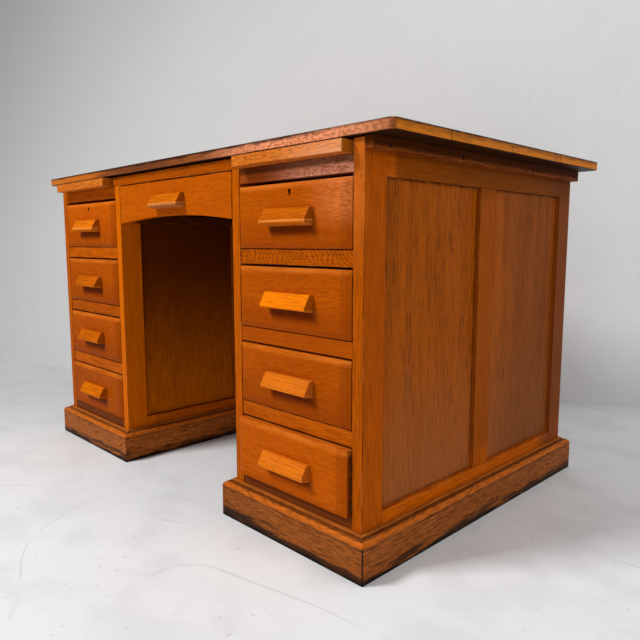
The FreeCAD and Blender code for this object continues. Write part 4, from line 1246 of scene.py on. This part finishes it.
@dataclass
class CleatScrews:
    """Slotted wood screws sunk in the cleats, one on each packed screw."""

    head_radius: float = 3.5 * MM
    head_height: float = 2.3 * MM
    slot_width: float = 1.0 * MM
    slot_depth: float = 1.0 * MM
    shank_radius: float = 1.9 * MM
    tip_radius: float = 0.6 * MM
    length: float = 28.0 * MM
    seed: int = 4
    node: str = "batten_screws"

    def make(self, workshop: Workshop) -> None:
        """Set one screw on each packed one and hang them as one piece.

        Args:
            workshop: Makes the pieces.
        """
        name = f"{self.node}_slotted"
        seats = placed(name, self._seats())
        rule = seats.modifiers.new("screws", "NODES")
        rule.node_group = self._tree()
        finish = Steel("screw_steel")
        inputs = self._sizes() | {"Seed": self.seed, "Material": workshop.material(finish)}
        for item in rule.node_group.interface.items_tree:
            if item.name in inputs and item.in_out == "INPUT":
                rule[item.identifier] = inputs[item.name]
        evaluated = seats.evaluated_get(bpy.context.evaluated_depsgraph_get())
        mesh = bpy.data.meshes.new_from_object(evaluated)
        seats.modifiers.remove(rule)
        seats.data = mesh
        mesh.name = name
        workshop.hang(seats, self.node, finish)

    def _sizes(self) -> dict[str, float]:
        """Sizes of a screw by the names of the tree's inputs."""
        return {size.name.replace("_", " ").title(): getattr(self, size.name)
                for size in fields(self) if size.type is float}

    def _seats(self) -> bpy.types.Mesh:
        """A point at each screw head's outer face, with the way the screw looks.

        Returns:
            A mesh of points with the attribute "way".
        """
        places, ways = [], []
        for solid in solids_of(self.node):
            centre, half = solid.extent()
            way = math.copysign(1.0, centre[0])
            places.append((centre[0] + way * half[0], centre[1], centre[2]))
            ways += [way, 0.0, 0.0]
        mesh = bpy.data.meshes.new("screw_seats")
        mesh.from_pydata(places, [], [])
        mesh.attributes.new("way", "FLOAT_VECTOR", "POINT").data.foreach_set("vector", ways)
        return mesh

    def _tree(self) -> bpy.types.NodeTree:
        """Geometry nodes that make one screw and set it on every seat.

        Returns:
            The node tree, with all sizes as named inputs.
        """
        tree = bpy.data.node_groups.new("cleat_screws", "GeometryNodeTree")
        tree.interface.new_socket("Geometry", in_out="INPUT", socket_type="NodeSocketGeometry")
        for name in self._sizes():
            tree.interface.new_socket(name, in_out="INPUT", socket_type="NodeSocketFloat")
        tree.interface.new_socket("Seed", in_out="INPUT", socket_type="NodeSocketInt")
        tree.interface.new_socket("Material", in_out="INPUT", socket_type="NodeSocketMaterial")
        tree.interface.new_socket("Geometry", in_out="OUTPUT", socket_type="NodeSocketGeometry")
        wiring = Wiring(tree)
        given = wiring.node("NodeGroupInput", {}, {})
        way = wiring.node("GeometryNodeInputNamedAttribute", {"data_type": "FLOAT_VECTOR"},
                          {"Name": "way"})
        turned = wiring.node("FunctionNodeAlignRotationToVector", {"axis": "Z"},
                             {"Vector": way("Attribute")})
        spread = wiring.node("GeometryNodeInstanceOnPoints", {},
                             {"Points": given("Geometry"), "Instance": self._screw(wiring, given),
                              "Rotation": turned("Rotation")})
        chance = wiring.node("FunctionNodeRandomValue", {"data_type": "FLOAT_VECTOR"},
                             {0: (0.0, 0.0, 0.0), 1: (0.0, 0.0, math.pi), "Seed": given("Seed")})
        spun = wiring.node("GeometryNodeRotateInstances", {},
                           {"Instances": spread("Instances"), "Rotation": chance(0)})
        real = wiring.node("GeometryNodeRealizeInstances", {}, {"Geometry": spun("Instances")})
        dressed = wiring.node("GeometryNodeSetMaterial", {},
                              {"Geometry": real("Geometry"), "Material": given("Material")})
        wiring.node("NodeGroupOutput", {}, {"Geometry": dressed("Geometry")})
        return tree

    @staticmethod
    def _screw(wiring: Wiring, given: Callable[[str | int], Channel]) -> Channel:
        """One screw that hangs down from its head's face at the origin.

        Args:
            wiring: Tree that the nodes are added to.
            given: The tree's inputs by name.

        Returns:
            Geometry of the slotted head and the tapered shank.
        """
        head = wiring.node("GeometryNodeMeshCylinder", {},
                           {"Vertices": HEAD_SIDES, "Radius": given("Head Radius"),
                            "Depth": given("Head Height")})
        head = wiring.node("GeometryNodeTransform", {},
                           {"Geometry": head("Mesh"),
                            "Translation": wiring.join(Z=given("Head Height") * -0.5)})
        size = wiring.join(X=given("Head Radius") * 3.0, Y=given("Slot Width"),
                           Z=given("Slot Depth") * 2.0)
        slot = wiring.node("GeometryNodeMeshCube", {}, {"Size": size})
        cut = wiring.node("GeometryNodeMeshBoolean", {"operation": "DIFFERENCE", "solver": "EXACT"},
                          {0: head("Geometry"), 1: slot("Mesh")})
        shank = wiring.node("GeometryNodeMeshCone", {},
                            {"Vertices": SHANK_SIDES, "Radius Top": given("Shank Radius"),
                             "Radius Bottom": given("Tip Radius"),
                             "Depth": given("Length") - given("Head Height")})
        shank = wiring.node("GeometryNodeTransform", {},
                            {"Geometry": shank("Mesh"),
                             "Translation": wiring.join(Z=given("Length") * -1.0)})
        screw = wiring.tree.nodes.new("GeometryNodeJoinGeometry")
        for part in (shank("Geometry"), cut("Mesh")):
            wiring.tree.links.new(part.socket, screw.inputs[0])
        return Channel(wiring, screw.outputs[0])


# Studio and camera


@dataclass(frozen=True)
class Lamp:
    """One soft square lamp that looks at a point."""

    name: str
    place: Place
    target: Place
    size: float
    power: float

    def make(self) -> None:
        """Hang the lamp."""
        data = bpy.data.lights.new(self.name, "AREA")
        data.size = self.size
        data.energy = self.power
        lamp = placed(self.name, data)
        lamp.location = self.place
        look = Vector(self.target) - Vector(self.place)
        lamp.rotation_euler = look.to_track_quat("-Z", "Y").to_euler()


@dataclass
class Studio:
    """Pale floor, grey wall and soft light."""

    floor_size: float = 14.0
    wall_foot: tuple[float, float] = (-1.9095, -0.1795)
    wall_turn: float = math.radians(28.35)
    wall_left: float = 3.0
    wall_right: float = 6.0
    wall_height: float = 5.0
    room_light: float = 0.22
    room_shine: float = 0.03
    # Floor paint, paler near the front and darker towards the back left: painted shade of the light
    # falling off
    floor: Paint = Paint("floor_paint", near=(0.87, 0.89, 0.9), far=(0.62, 0.62, 0.62),
                         way=(-0.9, 0.43, 0.0), span=(-0.2, 1.0),
                         scuff=(0.4, 0.41, 0.41), scuff_depth=0.4)
    # Wall paint, darker towards its upper left: painted shade
    wall: Paint = Paint("wall_paint", near=(0.2, 0.2, 0.2), far=(0.75, 0.75, 0.75),
                        way=(1.0, 0.0, -1.0), span=(-3.9, -1.1),
                        scuff=(0.4, 0.4, 0.4), scuff_depth=0.1)
    lamps: tuple[Lamp, ...] = (
        Lamp("key", (-0.95, -2.6, 3.15), (0.2, -0.2, 0.35), size=0.9, power=112.0),
        Lamp("fill", (3.5, 0.4, 2.3), (0.6, 0.0, 0.3), size=2.0, power=38.0),
        Lamp("bounce", (1.9, -2.7, 0.9), (-0.2, 0.0, 0.3), size=1.6, power=12.0),
    )

    def make(self, workshop: Workshop) -> None:
        """Make floor, wall, lamps and room light.

        Args:
            workshop: Makes the materials.
        """
        half = self.floor_size / 2
        corners = [(-half, -half, 0), (half, -half, 0), (half, half, 0), (-half, half, 0)]
        self._sheet("studio_floor", corners, workshop.material(self.floor))
        along = Vector((math.cos(self.wall_turn), math.sin(self.wall_turn), 0.0))
        foot = Vector((*self.wall_foot, 0.0))
        low, high = foot - along * self.wall_left, foot + along * self.wall_right
        rise = Vector((0.0, 0.0, self.wall_height))
        material = workshop.material(self.wall)
        self._clear_from_behind(material)
        self._sheet("studio_wall", [low, high, high + rise, low + rise], material)
        for lamp in self.lamps:
            lamp.make()
        self._room()
        bpy.context.scene.view_settings.view_transform = "Standard"

    @staticmethod
    def _sheet(name: str, corners: list[Place | Vector], material: bpy.types.Material) -> None:
        """One flat sheet of the set.

        Args:
            name: Name of the sheet.
            corners: Its four corners.
            material: Its paint.
        """
        mesh = bpy.data.meshes.new(name)
        mesh.from_pydata([tuple(corner) for corner in corners], [], [(0, 1, 2, 3)])
        mesh.materials.append(material)
        placed(name, mesh)

    @staticmethod
    def _clear_from_behind(material: bpy.types.Material) -> None:
        """Let views from the far side look through the wall.

        Args:
            material: The wall's paint.
        """
        wiring = Wiring(material.node_tree)
        output = next(node for node in wiring.tree.nodes if node.type == "OUTPUT_MATERIAL")
        surface = output.inputs["Surface"].links[0].from_socket
        side = wiring.node("ShaderNodeNewGeometry", {}, {})
        clear = wiring.node("ShaderNodeBsdfTransparent", {}, {})
        mix = wiring.node("ShaderNodeMixShader", {},
                          {"Fac": side("Backfacing"), 1: surface, 2: clear("BSDF")})
        wiring.tree.links.new(mix("Shader").socket, output.inputs["Surface"])

    def _room(self) -> None:
        """Even room light, and a dim room in the polish."""
        world = bpy.data.worlds.new("room")
        world.use_nodes = True
        world.node_tree.nodes.clear()
        wiring = Wiring(world.node_tree)
        path = wiring.node("ShaderNodeLightPath", {}, {})
        even = wiring.node("ShaderNodeBackground", {},
                           {"Color": (1.0, 1.0, 1.0, 1.0), "Strength": self.room_light})
        shine = (self.room_shine, self.room_shine, self.room_shine, 1.0)
        dim = wiring.node("ShaderNodeBackground", {}, {"Color": shine})
        mix = wiring.node("ShaderNodeMixShader", {},
                          {"Fac": path("Is Glossy Ray"), 1: even("Background"), 2: dim("Background")})
        wiring.node("ShaderNodeOutputWorld", {}, {"Surface": mix("Shader")})
        bpy.context.scene.world = world


@dataclass
class Camera:
    """Camera at the place from which the photograph was taken."""

    place: Place = (1.2476, -1.1177, 0.5721)
    yaw: float = math.radians(45.5)
    pitch: float = math.radians(-7.16)
    lens: float = 34.49
    sensor: float = 36.0
    nearest: float = 0.05

    def make(self) -> None:
        """Create the camera and make it the scene's."""
        data = bpy.data.cameras.new("camera")
        data.lens = self.lens
        data.sensor_width = self.sensor
        data.clip_start = self.nearest
        camera = placed("camera", data)
        turn = Matrix.Rotation(self.yaw, 4, "Z") @ Matrix.Rotation(math.pi / 2 + self.pitch, 4, "X")
        camera.matrix_world = Matrix.Translation(self.place) @ turn
        bpy.context.scene.camera = camera


# Tones of front and pull, from 0 for the darkest to 1, of each drawer from the top
DRAWER_TONES = {"right": ((0.45, 0.05), (0.4, 0.9), (0.3, 0.45), (0.75, 0.6)),
                "left": ((0.8, 0.45), (0.35, 0.05), (0.35, 0.1), (0.1, 0.35))}
CENTRE_TONES = (0.5, 0.25)


def main() -> None:
    """Build the desk, the studio and the camera."""
    logging.basicConfig(level=logging.INFO, format="%(name)s %(message)s")
    workshop = Workshop()
    Top().make(workshop)
    for side, tones in DRAWER_TONES.items():
        Pedestal(side).make(workshop)
        for number, (front_tone, pull_tone) in enumerate(tones, 1):
            Drawer(f"{side}_drawer_{number}", number, front_tone, pull_tone,
                   locked=number == 1).make(workshop)
        WritingSlide(side).make(workshop)
    Kneehole().make(workshop)
    Drawer("centre_drawer", 9, *CENTRE_TONES, Wood.CENTRE).make(workshop)
    CleatScrews().make(workshop)
    Studio().make(workshop)
    Camera().make()


if __name__ == "__main__":
    main()
